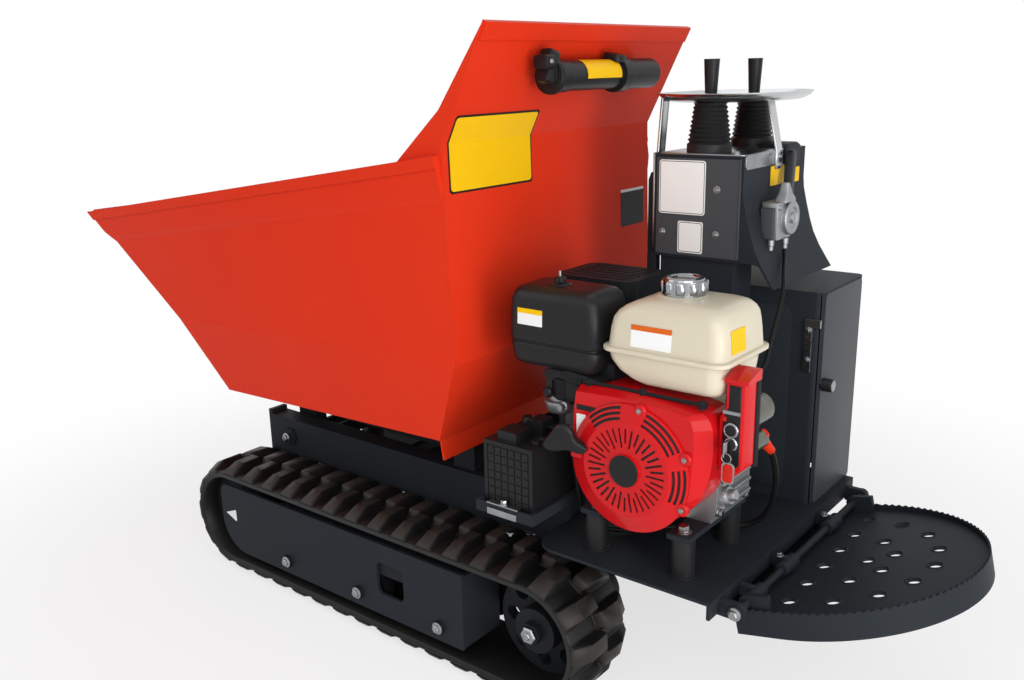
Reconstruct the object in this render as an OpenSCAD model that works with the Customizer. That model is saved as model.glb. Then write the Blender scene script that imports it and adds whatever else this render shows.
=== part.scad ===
// Tracked site dumper with a front tipping skip. Millimetres, +X forward, +Y left, +Z up.
// Places along X are measured from a datum near the drive sprocket; placed() centres the whole machine.

/* [Tracks] */
// width of one rubber track
track_w = 180; // [150:5:220]
// middle of a track from the machine's middle plane
track_y = 285; // [240:5:330]
// height of a track over its lugs
track_top = 287; // [240:1:330]
// drive sprocket centre along the machine
sprocket_x = 58; // [30:1:90]
// front idler centre along the machine
idler_x = 980; // [850:5:1100]
// height of one lug
lug_h = 22; // [12:1:30]
// thickness of the rubber belt
belt_t = 16; // [10:1:24]
// height of the roller bolts above the ground
roller_z = 90; // [80:1:110]

/* [Chassis] */
// outer face of a chassis rail
rail_y = 190; // [170:5:193]
// width of a chassis rail
rail_w = 50; // [30:5:60]
// top of the chassis rails under the skip
rail_top = 361; // [340:1:380]
// underside of the chassis rails
rail_low = 268; // [266:1:300]
// front end of the chassis rails
rail_front = 1024; // [980:1:1060]
// top of the engine deck
deck_top = 333; // [320:1:350]
// half the width of the engine deck
deck_half = 332; // [300:1:350]
// rear edge of the engine deck
deck_rear = -314; // [-330:1:-300]
// thickness of the engine deck
deck_t = 6; // [4:1:10]

/* [Skip] */
// half the outside width of the skip
skip_half = 357; // [330:1:370]
// wall thickness of the skip
wall_t = 4; // [3:0.5:8]
// front lip of the skip, along the machine
lip_x = 1474; // [1350:1:1550]
// front lip of the skip, height
lip_z = 877; // [820:1:920]
// rim height at the rear of the skip
rim_rear_z = 1059; // [1000:1:1100]
// top of the headboard, along the machine
head_x = 125; // [80:1:180]
// top of the headboard, height
head_z = 1284; // [1200:1:1350]
// half the width of the skip's floor
floor_half = 330; // [300:1:350]

/* [Engine] */
// height of the engine's base above the ground
engine_base = 417; // [400:1:440]
// crank centre along the machine
crank_x = -138; // [-160:1:-120]
// crank centre height
crank_z = 527; // [510:1:545]
// outer face of the fan cover
fan_face_y = 320; // [300:1:330]

/* [Platform] */
// half the width of the operator platform
step_half = 266; // [230:1:290]
// straight part of the platform's sides
step_straight = 75; // [60:1:110]
// rim height of the platform
step_rim = 45; // [30:1:60]
// rise of the platform towards its rear, in degrees
step_tilt = 13; // [0:1:16]
// hinge rod of the platform along the machine
hinge_x = -346; // [-360:1:-338]
// hinge rod of the platform, height
hinge_z = 312; // [300:1:320]

/* [Hidden] */
// cuts run past the faces they open by this
over = 1;
// sides of round pieces
round_n = 48;
// sides of small round pieces
small_n = 24;
// running clearance of a pin in its bore
run_gap = 0.05;
// play between fixed wheels and the belt
belt_gap = 0.4;
// gap between pieces that sit on each other
seat_gap = 0.3;

// track belt derived values
track_r = track_top / 2;
belt_r = track_r - lug_h;
belt_in_r = belt_r - belt_t;
track_in_y = track_y - track_w / 2;
track_out_y = track_y + track_w / 2;
belt_run = idler_x - sprocket_x;
belt_len = 2 * belt_run + 2 * PI * belt_r;
lug_count = 36;
lug_pitch = belt_len / lug_count;
// shares of the pitch that a lug's foot and crown fill
lug_foot_share = 0.6;
lug_crown_share = 0.42;
// places of the outer and inner row along the pitch
lug_phase_shares = [0.25, 0.75];
// width of the slope at a lug's outer end and the share of the height left there
lug_slope = 34;
lug_edge_share = 0.3;
// chassis pivot of the skip
pivot_x = 942;
pivot_z = 314;
pivot_r = 15;
pin_reach = 196;
// ram eye places
ram_base_x = 140;
ram_base_z = 250;
ram_eye_x = 760;
ram_eye_z = 395;
ram_run = ram_eye_x - ram_base_x;
ram_rise = ram_eye_z - ram_base_z;
ram_len = sqrt(ram_run * ram_run + ram_rise * ram_rise);
ram_lean = atan2(ram_rise, ram_run);

// skip outline in the XZ plane
fold_front_x = 1123;
fold_front_z = 635;
fold_rear_x = 220;
fold_rear_z = 663;
floor_front_x = 987;
floor_front_z = 468;
floor_rear_x = 290;
fold_slope = (fold_rear_z - fold_front_z) / (fold_front_x - fold_rear_x);
floor_rear_z = floor_front_z + fold_slope * (floor_front_x - floor_rear_x);
head_fold_x = 229;
head_fold_z = 1079;
wing_x = 344;
wing_mid_x = 234;
wing_mid_z = 1138;
rim_rear_x = 239;
rim_slope = (rim_rear_z - lip_z) / (lip_x - rim_rear_x);
wing_z = lip_z + rim_slope * (lip_x - wing_x);
rim_lean = atan(rim_slope);
fold_lean = atan(fold_slope);
// rim bead and raised band
bead_h = 22;
bead_t = 11;
band_h = 85;
band_t = 6;
band_slope = 12;
rim_run = (lip_x - rim_rear_x) / cos(rim_lean);
// edge of the floor folded down at its rear
skirt_h = 46;

// platform end and machine middle
// the platform's front edge from the hinge line, ahead of it
step_front = -22;
step_top_z = -10;
step_plate_z = -18;
step_wall = 4;
step_lug_inset = 8;
step_lug_t = 12;
step_lug_y = [step_half - step_lug_inset - step_lug_t, step_half - step_lug_inset];
step_lug_r = 14;
step_lug_run = 40;
step_hole_r = 12;
// holes of the platform: from the hinge line, and to each side
step_holes = [[48, 39.5], [48, 118.5], [48, 197.5], [115, 0], [115, 92], [120, 182], [153, 37], [182, 138],
    [234, 0], [220, 73]];
step_reach = step_front + step_straight + step_half;
step_end_x = hinge_x - step_reach * cos(step_tilt) + (step_top_z - step_rim) * sin(step_tilt);
mid_x = (lip_x + step_end_x) / 2;

// chassis small sizes
end_plate_t = 12;
end_plate_low = 222;
end_plate_top = 372;
lash_z = 252;
lash_r = 13;
rail_rear = -300;
rail_step_x = 66;
rear_rail_top = deck_top - deck_t;
cross_front_low = 225;
cross_front_top = 274;
cross_mid_x = [600, 640];
cross_mid_top = 306;
cross_rear_x = [72, 104];
cross_rear_z = [228, 330];
ram_lug_y = [26, 38];
ram_lug_r = 24;
ram_pin_r = 12;
axle_tube_x = [[290, 340], [740, 790]];
axle_tube_z = [186, 236];
deck_front = 62;
deck_corner = 52;
deck_flange = 32;
hinge_lug_gap = 20;
hinge_lug_t = 12;
hinge_lug_y = [step_half + hinge_lug_gap, step_half + hinge_lug_gap + hinge_lug_t];
hinge_rod_r = 7;
flange_half = max(deck_half, hinge_lug_y[1]);
hinge_lug_r = 15;

// track frame small sizes
plate_in_y = [207, 215];
plate_out_y = [357, 365];
frame_rear_x = 214;
frame_front_x = 1016;
frame_low = 56;
frame_top = 228;
frame_corner = 40;
// corner radii of the cover: rear low, front low, front high, rear high
cover_corners = [5, 84, 24, 5];
cover_return_y = 247;
motor_plate_x = 10;
motor_plate_low = 96;
beam_x = [222, 800];
beam_z = [150, 224];
fork_y = [[222, 234], [336, 348]];
fork_z = [128, 158];
fork_end_x = 1000;
window_x = [382, 462];
window_z = [108, 184];
window_corner = 14;
roller_xs = [279, 522, 765];
roller_disc_y = [[236, 264], [306, 334]];
roller_axle_r = 13;
bolt_r = 15;
bolt_h = 9;
idler_y = [240, 330];
idler_groove_y = [272, 298];
idler_groove = 14;
idler_pin_r = 10;
sprocket_disc_y = [272, 298];
sprocket_hub_y = [240, 330];
sprocket_hub_r = 47;
sprocket_hole_r = 16;
sprocket_hole_ring = 76;
sprocket_holes = 8;
nut_r = 23;
nut_end_y = 344;
shaft_r = 20;
motor_flange_r = 60;
motor_flange_t = 14;
motor_body_r = 48;
motor_end_y = 96;

// engine bed small sizes
mount_xs = [-229, -48];
mount_ys = [92, 270];
mount_r = 21;
mount_cap_r = 25;
mount_cap_t = 5;
bed_w = 44;
bed_t = 10;
bed_x = [-262, -16];
case_x = [-262, -20];
case_y = [84, 214];
case_top = 600;
case_corner = 30;
cyl_lean = 25;
cyl_size = [140, 112, 110];
head_inset = 5;
cyl_from_x = -96;
cyl_from_z = 470;
head_block_x = [-40, 66];
head_block_z = [536, 598];
fin_count = 8;
fin_reach = 12;
fin_fill_share = 0.45;
// outline of the fan shroud along the machine and up, round the volute
shroud_line = [[-22, 655], [-17, 610], [-14, 552], [-20, 510], [-52, 467], [-90, 436], [-124, 423], [-160, 420],
    [-194, 428], [-228, 450], [-258, 482], [-279, 528], [-286, 575], [-284, 622], [-270, 645], [-250, 651],
    [-200, 657], [-110, 661]];
shroud_y = [214, 304];
shroud_steps = 3;
shroud_outline = smooth(concat(shroud_line, [shroud_line[0]]), shroud_steps);
shroud_rear_x = min([for (q = shroud_outline) q[0]]);
shroud_top = max([for (q = shroud_line) q[1]]);
shroud_turn_x = -200;
shroud_turn_z = 640;
shroud_drop_share = 0.3;
// where the rounding to the front face starts, how far its rear is drawn in, and the rest of its outline
shroud_round_y = 284;
shroud_pull = 22;
shroud_inset_share = 0.025;
recoil_r = 118;
recoil_face_r = 86;
recoil_edge = 4;
recoil_y = [304, 320];
// inner ends of the long and short slots, and their outer end
slot_from = [42, 51];
slot_to = 77;
slot_count = 36;
slot_w = 4;
slot_depth = 9;
// curved windows of the cover: radii and angles
vent_rings = [[91, 96], [100, 105], [109, 114]];
vent_angles = [[28, 72], [-24, 12], [98, 136]];
vent_steps = 8;
vent_floor = 3;
rope_boss_x = [-46, -24];
rope_boss_z = [528, 552];
recoil_hub_r = 30;
recoil_hub_t = 4;
grip_x = -28;
grip_z = 540;
grip_r = 11;
grip_len = 44;
tank_x = [-308, -67];
tank_y = [110, 300];
tank_z = [672, 826];
tank_corner = 34;
tank_taper = 22;
// taper under the tank at its rear and front
tank_ends = [14, 60];
tank_seat = 3;
tank_flange_z = [730, 738];
tank_flange_t = 8;
tank_saddle_x = [-240, -120];
tank_saddle_y = [150, 208];
cap_x = -182;
cap_y = 205;
cap_r = 38;
cap_h = 26;
cap_seat_h = 4;
cleaner_x = [-62, 128];
cleaner_y = [176, 300];
cleaner_z = [708, 824];
cleaner_corner = 36;
cleaner_edge = 11;
cleaner_base_x = [-56, 122];
cleaner_base_y = [180, 296];
cleaner_base_z = [672, 708];
carb_x = [8, 70];
carb_y = [170, 250];
carb_flange_t = 8;
carb_inset = 9;
// float bowl of the carburettor
bowl_x = 42;
bowl_y = 238;
bowl_r = 26;
bowl_z = [608, 646];
muffler_x = [-52, 124];
muffler_y = [24, 164];
muffler_z = [668, 822];
muffler_corner = 26;
muffler_slot_x = [-34, 106];
muffler_slot_w = 7;
muffler_slot_depth = 4;
muffler_slots = 6;
exhaust_x = [10, 60];
exhaust_y = [70, 120];
exhaust_low = head_block_z[1];
key_box_x = [-331, shroud_rear_x - seat_gap];
key_box_y = [226, 268];
key_box_z = [541, 712];
key_foot = 14;
key_step_x = -297;
key_step_z = [640, 662];
key_lid_x = [-340, -296];
key_lid_y = 276;
key_lid_top = 724;
key_slope = 12;
starter_y = [96, 196];
starter_x = -285;
starter_z = 614;
starter_r = 29;
starter_dome = 12;
starter_dome_share = 0.33;
starter_tie_y = [120, 170];
starter_tie_z = [545, 600];
solenoid_x = -290;
solenoid_z = 556;
solenoid_r = 18;
solenoid_y = [110, 180];
pump_y = [-22, 84];
pump_r = 52;
pump_flange_t = 16;
pump_flange_r = 72;

// battery, console and oil tank sizes
battery_x = [36, 150];
battery_y = [214, 358];
battery_z = [400, 535];
battery_groove_w = 3;
battery_groove_t = 2;
battery_margin = 9;
battery_cells = [6, 7];
battery_cap_x = [80, 124];
battery_cap_y = [302, 348];
battery_cap_h = 20;
post_cap_x = [64, 96];
post_cap_y = [252, 288];
post_cap_h = 30;
tray_x = [26, 162];
tray_y = [150, 372];
tray_z = [392, 400];
tray_lip = 14;
tray_lip_t = 5;
tray_post_y = [150, 186];
tray_post_x = [76, 130];
console_x = [-170, 18];
console_y = [-315, -33];
console_z = [838, 1038];
// rear sheet of the console from its top to the end of its flare
console_rear = [[-170, 976], [-172, 955], [-180, 922], [-189, 890], [-198, 864], [-212, 837], [-227, 814],
    [-240, 795]];
console_t = 4;
column_x = [-150, 8];
column_y = [-128, -44];
cover_t = 3;
cover_inset = 6;
boot_x = -72;
boot_ys = [-83, -272];
boot_r = 43;
boot_neck_r = 32;
boot_h = 95;
boot_folds = 9;
boot_band = 18;
boot_fold_share = 0.9;
lever_r = 8;
lever_top = 1140;
lever_grip_r = 15;
lever_grip_low_r = 11;
lever_grip_top = 1214;
guard_x = [-212, 56];
guard_y = [-330, -24];
guard_z = [1146, 1151];
guard_corner = 110;
guard_rim = 14;
guard_rim_t = 4;
guard_slot_x = 120;
guard_slot_y = 44;
guard_post_w = 26;
guard_front_y = -58;
guard_post_t = 5;
guard_post_lean = 22;
guard_post_grip = 34;
unit_plate_y = [-196, -60];
unit_plate_z = [900, 944];
unit_plate_t = 3;
unit_small = [[-204, -184], [-98, -64], [880, 930]];
unit_large = [[-212, -184], [-161, -98], [876, 947]];
unit_disc_y = -167;
unit_disc_z = 908;
unit_disc_r = 30;
unit_disc_x = [-226, -200];
unit_nub_y = -136;
unit_nub_x = -214;
unit_nub_r = 6;
unit_nub_z = [940, 974];
unit_ferrules = [[-204, -80], [-214, -133]];
unit_ferrule_low = 857;
box_x = [-295, -40];
box_y = [-360, -138];
box_top = 775;
box_corner = 16;
catch_x = [-279, -247];
catch_z = [615, 722];
catch_t = 5;
catch_w = 16;
buffer_r = 11;
buffer_len = 24;
buffer_y = -150;
buffer_z = 587;

// bearers and document tube sizes
bearer_y = [96, 128];
bearer_x = [300, 1004];
bearer_low = 372;
pivot_lug_r = 34;
eye_lug_y = [24, 36];
eye_lug_r = 30;
eye_tie_x = [700, 820];
eye_tie_low = 456;
rest_x = [330, 390];
rest_low = 420;
doc_y = [-174, 150];
doc_z = 1190;
doc_r = 28;
doc_cap_r = 30;
doc_cap_len = 26;
doc_clamp_w = 14;
doc_clamp_shares = [0.25, 0.75];
doc_collar_r = 35;
doc_collar_y = [-78, -50];
doc_sleeve_y = -64;
// folded hem along the top of the headboard
hem_h = 32;
hem_t = 5;

// ram sizes
barrel_r = 32;
barrel_eye_r = 24;
barrel_eye_w = 48;
barrel_from = 40;
barrel_len = 400;
gland_r = 36;
gland_len = 26;
rod_r = 18;
rod_inside = 440;
rod_eye_r = 27;
rod_eye_w = 40;

// cable routes and thickness
cable_r = 5.5;
cable_sides = 10;
cable_lead = 10;
starter_route = [[solenoid_x, solenoid_y[0] - seat_gap, solenoid_z],
    [solenoid_x, solenoid_y[0] - cable_lead, solenoid_z], [-294, 90, 546], [-299, 78, 524],
    [-302, 62, 484], [-299, 50, 444], [-288, 38, 400], [-266, 30, 362], [-236, 38, 342], [-190, 70, 340],
    [-140, 110, 340], [-100, 150, 340], [-60, 190, 340], [-14, 222, 350], [0, 242, 384], [2, 258, 430],
    [2, 266, 474], [8, 269, 510], [22, 270, 536], [42, 270, 549],
    [post_cap_x[0] - seat_gap, (post_cap_y[0] + post_cap_y[1]) / 2, battery_z[1] + post_cap_h / 2]];
throttle_r = 4;
throttle_route = [[unit_ferrules[1][0], unit_ferrules[1][1], unit_ferrule_low - seat_gap],
    [unit_ferrules[1][0], unit_ferrules[1][1], unit_ferrule_low - cable_lead], [-220, -122, 838],
    [-232, -94, 824], [-245, -64, 808], [-253, -44, 786], [-256, -24, 758], [-257, 6, 710], [-257, 28, 668],
    [-248, 64, 640], [-236, 106, 624], [-230, 120, case_top + cable_lead],
    [-230, 120, case_top + seat_gap]];
hex_n = 6;
half_share = 0.5;
// run and reach of the skip's bent section past the skip itself
core_back_share = 1.2;
core_len_share = 1.4;

// helpers
module placed() translate([-mid_x, 0, 0]) children();

module block(xs, ys, zs) translate([xs[0], ys[0], zs[0]]) cube([xs[1] - xs[0], ys[1] - ys[0], zs[1] - zs[0]]);

module along_y(ys) translate([0, ys[1], 0]) rotate([90, 0, 0]) linear_extrude(ys[1] - ys[0]) children();

module along_z(zs) translate([0, 0, zs[0]]) linear_extrude(zs[1] - zs[0]) children();

module disc_y(x, z, r, ys, sides) translate([x, ys[1], z]) rotate([90, 0, 0])
    cylinder(r = r, h = ys[1] - ys[0], $fn = sides);

module mirrored() {
    children();
    mirror([0, 1, 0]) children();
}

module soft_rect(us, vs, r) {
    translate([us[0] + r, vs[0]]) square([us[1] - us[0] - 2 * r, vs[1] - vs[0]]);
    translate([us[0], vs[0] + r]) square([us[1] - us[0], vs[1] - vs[0] - 2 * r]);
    for (u = [us[0] + r, us[1] - r], v = [vs[0] + r, vs[1] - r]) translate([u, v]) circle(r, $fn = small_n);
}

// corner radii go round from the lower left
module shaped_rect(us, vs, rs) {
    polygon([[us[0] + rs[0], vs[0]], [us[1] - rs[1], vs[0]], [us[1], vs[0] + rs[1]], [us[1], vs[1] - rs[2]],
        [us[1] - rs[2], vs[1]], [us[0] + rs[3], vs[1]], [us[0], vs[1] - rs[3]], [us[0], vs[0] + rs[0]]]);
    translate([us[0] + rs[0], vs[0] + rs[0]]) circle(rs[0], $fn = round_n);
    translate([us[1] - rs[1], vs[0] + rs[1]]) circle(rs[1], $fn = round_n);
    translate([us[1] - rs[2], vs[1] - rs[2]]) circle(rs[2], $fn = round_n);
    translate([us[0] + rs[3], vs[1] - rs[3]]) circle(rs[3], $fn = round_n);
}

module ring_sector(rs, angles, steps) polygon(concat(
    [for (k = [0 : steps]) let (a = angles[0] + (angles[1] - angles[0]) * k / steps) rs[1] * [cos(a), sin(a)]],
    [for (k = [steps : -1 : 0]) let (a = angles[0] + (angles[1] - angles[0]) * k / steps) rs[0] * [cos(a), sin(a)]]));

// track loop functions
function wrap(s) = s < 0 ? s + belt_len : (s >= belt_len ? s - belt_len : s);
function turn(s) = s / belt_r * 180 / PI;
function at_arc(cx, a, r) = [cx + r * cos(a), track_r + r * sin(a)];
function on_loop(s, h) =
    let (arc = PI * belt_r)
    s < belt_run ? [sprocket_x + s, lug_h - h]
    : s < belt_run + arc ? at_arc(idler_x, turn(s - belt_run) - 90, belt_r + h)
    : s < 2 * belt_run + arc ? [idler_x - (s - belt_run - arc), track_r + belt_r + h]
    : at_arc(sprocket_x, turn(s - 2 * belt_run - arc) + 90, belt_r + h);
function lug_line(h, phase) =
    let (foot = lug_pitch * lug_foot_share / 2, crown = lug_pitch * lug_crown_share / 2)
    [for (k = [0 : lug_count - 1], q = [[-foot, 0], [-crown, h], [crown, h], [foot, 0]])
        on_loop(wrap((k + phase) * lug_pitch + q[0]), q[1])];

module stadium(r) {
    translate([sprocket_x, track_r]) circle(r, $fn = round_n);
    translate([idler_x, track_r]) circle(r, $fn = round_n);
    translate([sprocket_x, track_r - r]) square([belt_run, 2 * r]);
}

module lug_band(h, phase, ys) along_y(ys) difference() {
    polygon(lug_line(h, phase));
    stadium(belt_in_r);
}

// flat wedge across each lug of one row, which slopes its outer end
module lug_slope_cut(phase) {
    fall = lug_h * (1 - lug_edge_share) * (lug_slope + over) / lug_slope;
    wide = lug_pitch * lug_foot_share + 2 * over;
    for (k = [0 : lug_count - 1]) {
        s = wrap((k + phase) * lug_pitch);
        foot = on_loop(s, 0);
        out = on_loop(s, lug_h) - foot;
        translate([foot[0], 0, foot[1]]) rotate([0, atan2(out[0], out[1]), 0]) translate([-wide / 2, 0, 0])
            rotate([90, 0, 90]) linear_extrude(wide) polygon([[track_out_y - lug_slope, lug_h],
                [track_out_y - lug_slope, lug_h + over], [track_out_y + over, lug_h + over],
                [track_out_y + over, lug_h - fall]]);
    }
}

module lug_row(phase) difference() {
    lug_band(lug_h, phase, [track_y, track_out_y]);
    lug_slope_cut(phase);
}

module track() {
    lug_row(lug_phase_shares[0]);
    translate([0, 2 * track_y, 0]) mirror([0, 1, 0]) lug_row(lug_phase_shares[1]);
}

// swept tube functions
function unit(v) = v / norm(v);
function cat_pt(a, b, c, d, t) = 0.5 * (2 * b + (c - a) * t + (2 * a - 5 * b + 4 * c - d) * t * t
    + (3 * b - a - 3 * c + d) * t * t * t);
function before(p, i) = i == 0 ? 2 * p[0] - p[1] : p[i - 1];
function after(p, i) = i == len(p) - 1 ? 2 * p[i] - p[i - 1] : p[i + 1];
function smooth(p, k) = concat([for (i = [0 : len(p) - 2], j = [0 : k - 1])
    cat_pt(before(p, i), p[i], p[i + 1], after(p, i + 1), j / k)], [p[len(p) - 1]]);
function tangent(p, i) = unit(after(p, i) - before(p, i));
function side_of(t) = unit(cross(t, abs(t[2]) < 0.9 ? [0, 0, 1] : [1, 0, 0]));

function carried(p, i, u) = let (t = tangent(p, i)) unit(u - (u * t) * t);
function frames(p, i, u, done) = i == len(p) ? done
    : let (v = carried(p, i, u)) frames(p, i + 1, v, concat(done, [v]));

module tube(points, r, sides) {
    p = smooth(points, 4);
    n = len(p);
    us = frames(p, 0, side_of(tangent(p, 0)), []);
    rings = [for (i = [0 : n - 1], j = [0 : sides - 1])
        let (a = 360 * j / sides, w = cross(tangent(p, i), us[i])) p[i] + r * (cos(a) * us[i] + sin(a) * w)];
    walls = [for (i = [0 : n - 2], j = [0 : sides - 1])
        let (k = (j + 1) % sides) [i * sides + j, (i + 1) * sides + j, (i + 1) * sides + k, i * sides + k]];
    polyhedron(rings, concat([[for (j = [0 : sides - 1]) j]], walls,
        [[for (j = [sides - 1 : -1 : 0]) (n - 1) * sides + j]]));
}

// chassis pieces
module chassis_rail() placed() difference() {
    union() {
        along_y([rail_y - rail_w, rail_y]) polygon([[rail_rear, rail_low], [rail_front, rail_low],
            [rail_front, rail_top], [rail_step_x, rail_top], [rail_step_x, rear_rail_top],
            [rail_rear, rear_rail_top]]);
        block([rail_front - end_plate_t, rail_front], [rail_y - rail_w, rail_y], [end_plate_low, end_plate_top]);
    }
    disc_y(pivot_x, pivot_z, pivot_r + run_gap, [rail_y - rail_w - over, rail_y + over], round_n);
    translate([rail_front - end_plate_t - over, rail_y - rail_w / 2, lash_z]) rotate([0, 90, 0])
        cylinder(r = lash_r, h = end_plate_t + 2 * over, $fn = round_n);
}

module chassis_rail_left() color("#2e3238") chassis_rail();

module chassis_rail_right() color("#2e3238") mirror([0, 1, 0]) chassis_rail();

module chassis_crossmembers() color("#2e3238") placed() {
    inner = rail_y - rail_w;
    block([rail_front - end_plate_t, rail_front], [-inner, inner], [cross_front_low, cross_front_top]);
    block(cross_mid_x, [-inner, inner], [rail_low, cross_mid_top]);
    difference() {
        union() {
            block(cross_rear_x, [-inner, inner], cross_rear_z);
            mirrored() along_y(ram_lug_y) union() {
                translate([ram_base_x, ram_base_z]) circle(ram_lug_r, $fn = round_n);
                translate([cross_rear_x[1], ram_base_z - ram_lug_r])
                    square([ram_base_x - cross_rear_x[1], 2 * ram_lug_r]);
            }
        }
        disc_y(ram_base_x, ram_base_z, ram_pin_r + run_gap, [-ram_lug_y[1] - over, ram_lug_y[1] + over], round_n);
    }
    for (xs = axle_tube_x) {
        block(xs, [-plate_in_y[0], plate_in_y[0]], axle_tube_z);
        mirrored() block(xs, [inner, rail_y], [axle_tube_z[1], rail_low]);
    }
}

module pivot_pins() color("#b9bcc0") placed() {
    disc_y(ram_base_x, ram_base_z, ram_pin_r, [-ram_lug_y[1] - bolt_h, ram_lug_y[1] + bolt_h], round_n);
    disc_y(pivot_x, pivot_z, pivot_r, [-rail_y, rail_y], round_n);
    mirrored() disc_y(pivot_x, pivot_z, pivot_r + bolt_h, [rail_y, pin_reach - over], hex_n);
}

module engine_deck() color("#2e3238") placed() difference() {
    union() {
        along_z([deck_top - deck_t, deck_top])
            soft_rect([deck_rear, deck_front], [-deck_half, deck_half], deck_corner);
        along_z([deck_top - deck_t, deck_top])
            translate([deck_rear, -deck_half]) square([deck_corner, 2 * deck_half]);
        block([deck_rear, deck_rear + deck_t], [-flange_half, flange_half], [deck_top - deck_flange, deck_top]);
        mirrored() along_y(hinge_lug_y) union() {
            translate([hinge_x, hinge_z]) circle(hinge_lug_r, $fn = round_n);
            translate([hinge_x, hinge_z - hinge_lug_r]) square([deck_rear - hinge_x, 2 * hinge_lug_r]);
        }
    }
    mirrored() disc_y(hinge_x, hinge_z, hinge_rod_r + run_gap, [hinge_lug_y[0] - over, hinge_lug_y[1] + over],
        round_n);
}

module platform_hinge_rod() color("#b9bcc0") placed() {
    disc_y(hinge_x, hinge_z, hinge_rod_r, [-hinge_lug_y[1], hinge_lug_y[1]], round_n);
    mirrored() disc_y(hinge_x, hinge_z, hinge_rod_r + deck_t, [hinge_lug_y[1], hinge_lug_y[1] + deck_t], small_n);
}

// running gear
module track_left() color("#1c1c1e") placed() track();

module track_right() color("#1c1c1e") placed() mirror([0, 1, 0]) track();

module track_frame() difference() {
    union() {
        along_y(plate_in_y) difference() {
            union() {
                soft_rect([frame_rear_x, frame_front_x], [frame_low, frame_top], frame_corner);
                translate([motor_plate_x, motor_plate_low])
                    square([frame_rear_x + frame_corner - motor_plate_x, beam_z[1] - motor_plate_low]);
            }
            translate([sprocket_x, track_r]) circle(shaft_r + belt_gap, $fn = round_n);
        }
        block(beam_x, [plate_in_y[1], plate_out_y[0]], beam_z);
        for (ys = fork_y) along_y(ys) union() {
            translate([beam_x[1] - beam_z[0] + fork_z[0], fork_z[0]])
                square([idler_x - beam_x[1] + beam_z[0] - fork_z[0], fork_z[1] - fork_z[0]]);
            translate([idler_x, (fork_z[0] + fork_z[1]) / 2])
                circle(fork_z[1] / 2 - fork_z[0] / 2, $fn = round_n);
        }
    }
    disc_y(idler_x, track_r, idler_pin_r + run_gap, [fork_y[0][0] - over, fork_y[1][1] + over], round_n);
    for (x = roller_xs)
        disc_y(x, roller_z, roller_axle_r + run_gap, [plate_in_y[0] - over, plate_in_y[1] + over], round_n);
}

module track_frames() color("#26292d") placed() mirrored() track_frame();

module track_cover() difference() {
    union() {
        along_y(plate_out_y) shaped_rect([frame_rear_x, frame_front_x], [frame_low, frame_top], cover_corners);
        block([frame_rear_x, beam_x[0]], [cover_return_y, plate_out_y[1]],
            [frame_low + cover_corners[0], frame_top - cover_corners[3]]);
    }
    along_y([plate_out_y[0] - over, plate_out_y[1] + over]) soft_rect(window_x, window_z, window_corner);
    for (x = roller_xs)
        disc_y(x, roller_z, roller_axle_r + run_gap, [plate_out_y[0] - over, plate_out_y[1] + over], round_n);
}

module track_covers() color("#2e3238") placed() mirrored() track_cover();

module track_roller(x) {
    reach = roller_z - lug_h - belt_t - belt_gap;
    for (ys = roller_disc_y) disc_y(x, roller_z, reach, ys, round_n);
    disc_y(x, roller_z, reach / 2, [roller_disc_y[0][1], roller_disc_y[1][0]], round_n);
    disc_y(x, roller_z, roller_axle_r, [plate_in_y[0], plate_out_y[1]], round_n);
    disc_y(x, roller_z, bolt_r, [plate_out_y[1], plate_out_y[1] + bolt_h], hex_n);
}

module track_rollers() color("#1c1c1e") placed() mirrored() for (x = roller_xs) track_roller(x);

module track_idler() difference() {
    union() {
        disc_y(idler_x, track_r, belt_in_r - belt_gap, idler_y, round_n);
        disc_y(idler_x, track_r, idler_pin_r, [fork_y[0][0], fork_y[1][1]], round_n);
    }
    translate([idler_x, idler_groove_y[1], track_r]) rotate([90, 0, 0])
        difference() {
            cylinder(r = belt_in_r + over, h = idler_groove_y[1] - idler_groove_y[0], $fn = round_n);
            translate([0, 0, -over]) cylinder(r = belt_in_r - idler_groove,
                h = idler_groove_y[1] - idler_groove_y[0] + 2 * over, $fn = round_n);
        }
}

module track_idlers() color("#26292d") placed() mirrored() track_idler();

module drive_sprocket() {
    difference() {
        disc_y(sprocket_x, track_r, belt_in_r - belt_gap, sprocket_disc_y, round_n);
        for (k = [1 : sprocket_holes])
            let (a = 360 * k / sprocket_holes)
            disc_y(sprocket_x + sprocket_hole_ring * cos(a), track_r + sprocket_hole_ring * sin(a),
                sprocket_hole_r, [sprocket_disc_y[0] - over, sprocket_disc_y[1] + over], small_n);
    }
    disc_y(sprocket_x, track_r, sprocket_hub_r, sprocket_hub_y, round_n);
    disc_y(sprocket_x, track_r, nut_r, [sprocket_hub_y[1], nut_end_y], hex_n);
}

module drive_sprockets() color("#26292d") placed() mirrored() drive_sprocket();

module drive_motor() {
    disc_y(sprocket_x, track_r, motor_flange_r, [plate_in_y[0] - motor_flange_t, plate_in_y[0]], round_n);
    disc_y(sprocket_x, track_r, motor_body_r, [motor_end_y, plate_in_y[0] - motor_flange_t], round_n);
    disc_y(sprocket_x, track_r, shaft_r, [plate_in_y[0], sprocket_hub_y[0]], round_n);
}

module drive_motors() color("#1f2124") placed() mirrored() drive_motor();

// engine pieces
module engine_mounts() color("#18181a") placed() for (x = mount_xs, y = mount_ys) translate([x, y, deck_top]) {
    cylinder(r = mount_r, h = engine_base - bed_t - deck_top, $fn = round_n);
    cylinder(r = mount_cap_r, h = mount_cap_t, $fn = round_n);
}

module engine_bed() color("#2e3238") placed() for (x = mount_xs)
    block([x - bed_w / 2, x + bed_w / 2], [mount_ys[0] - bed_w / 2, mount_ys[1] + bed_w / 2],
        [engine_base - bed_t, engine_base]);

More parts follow.
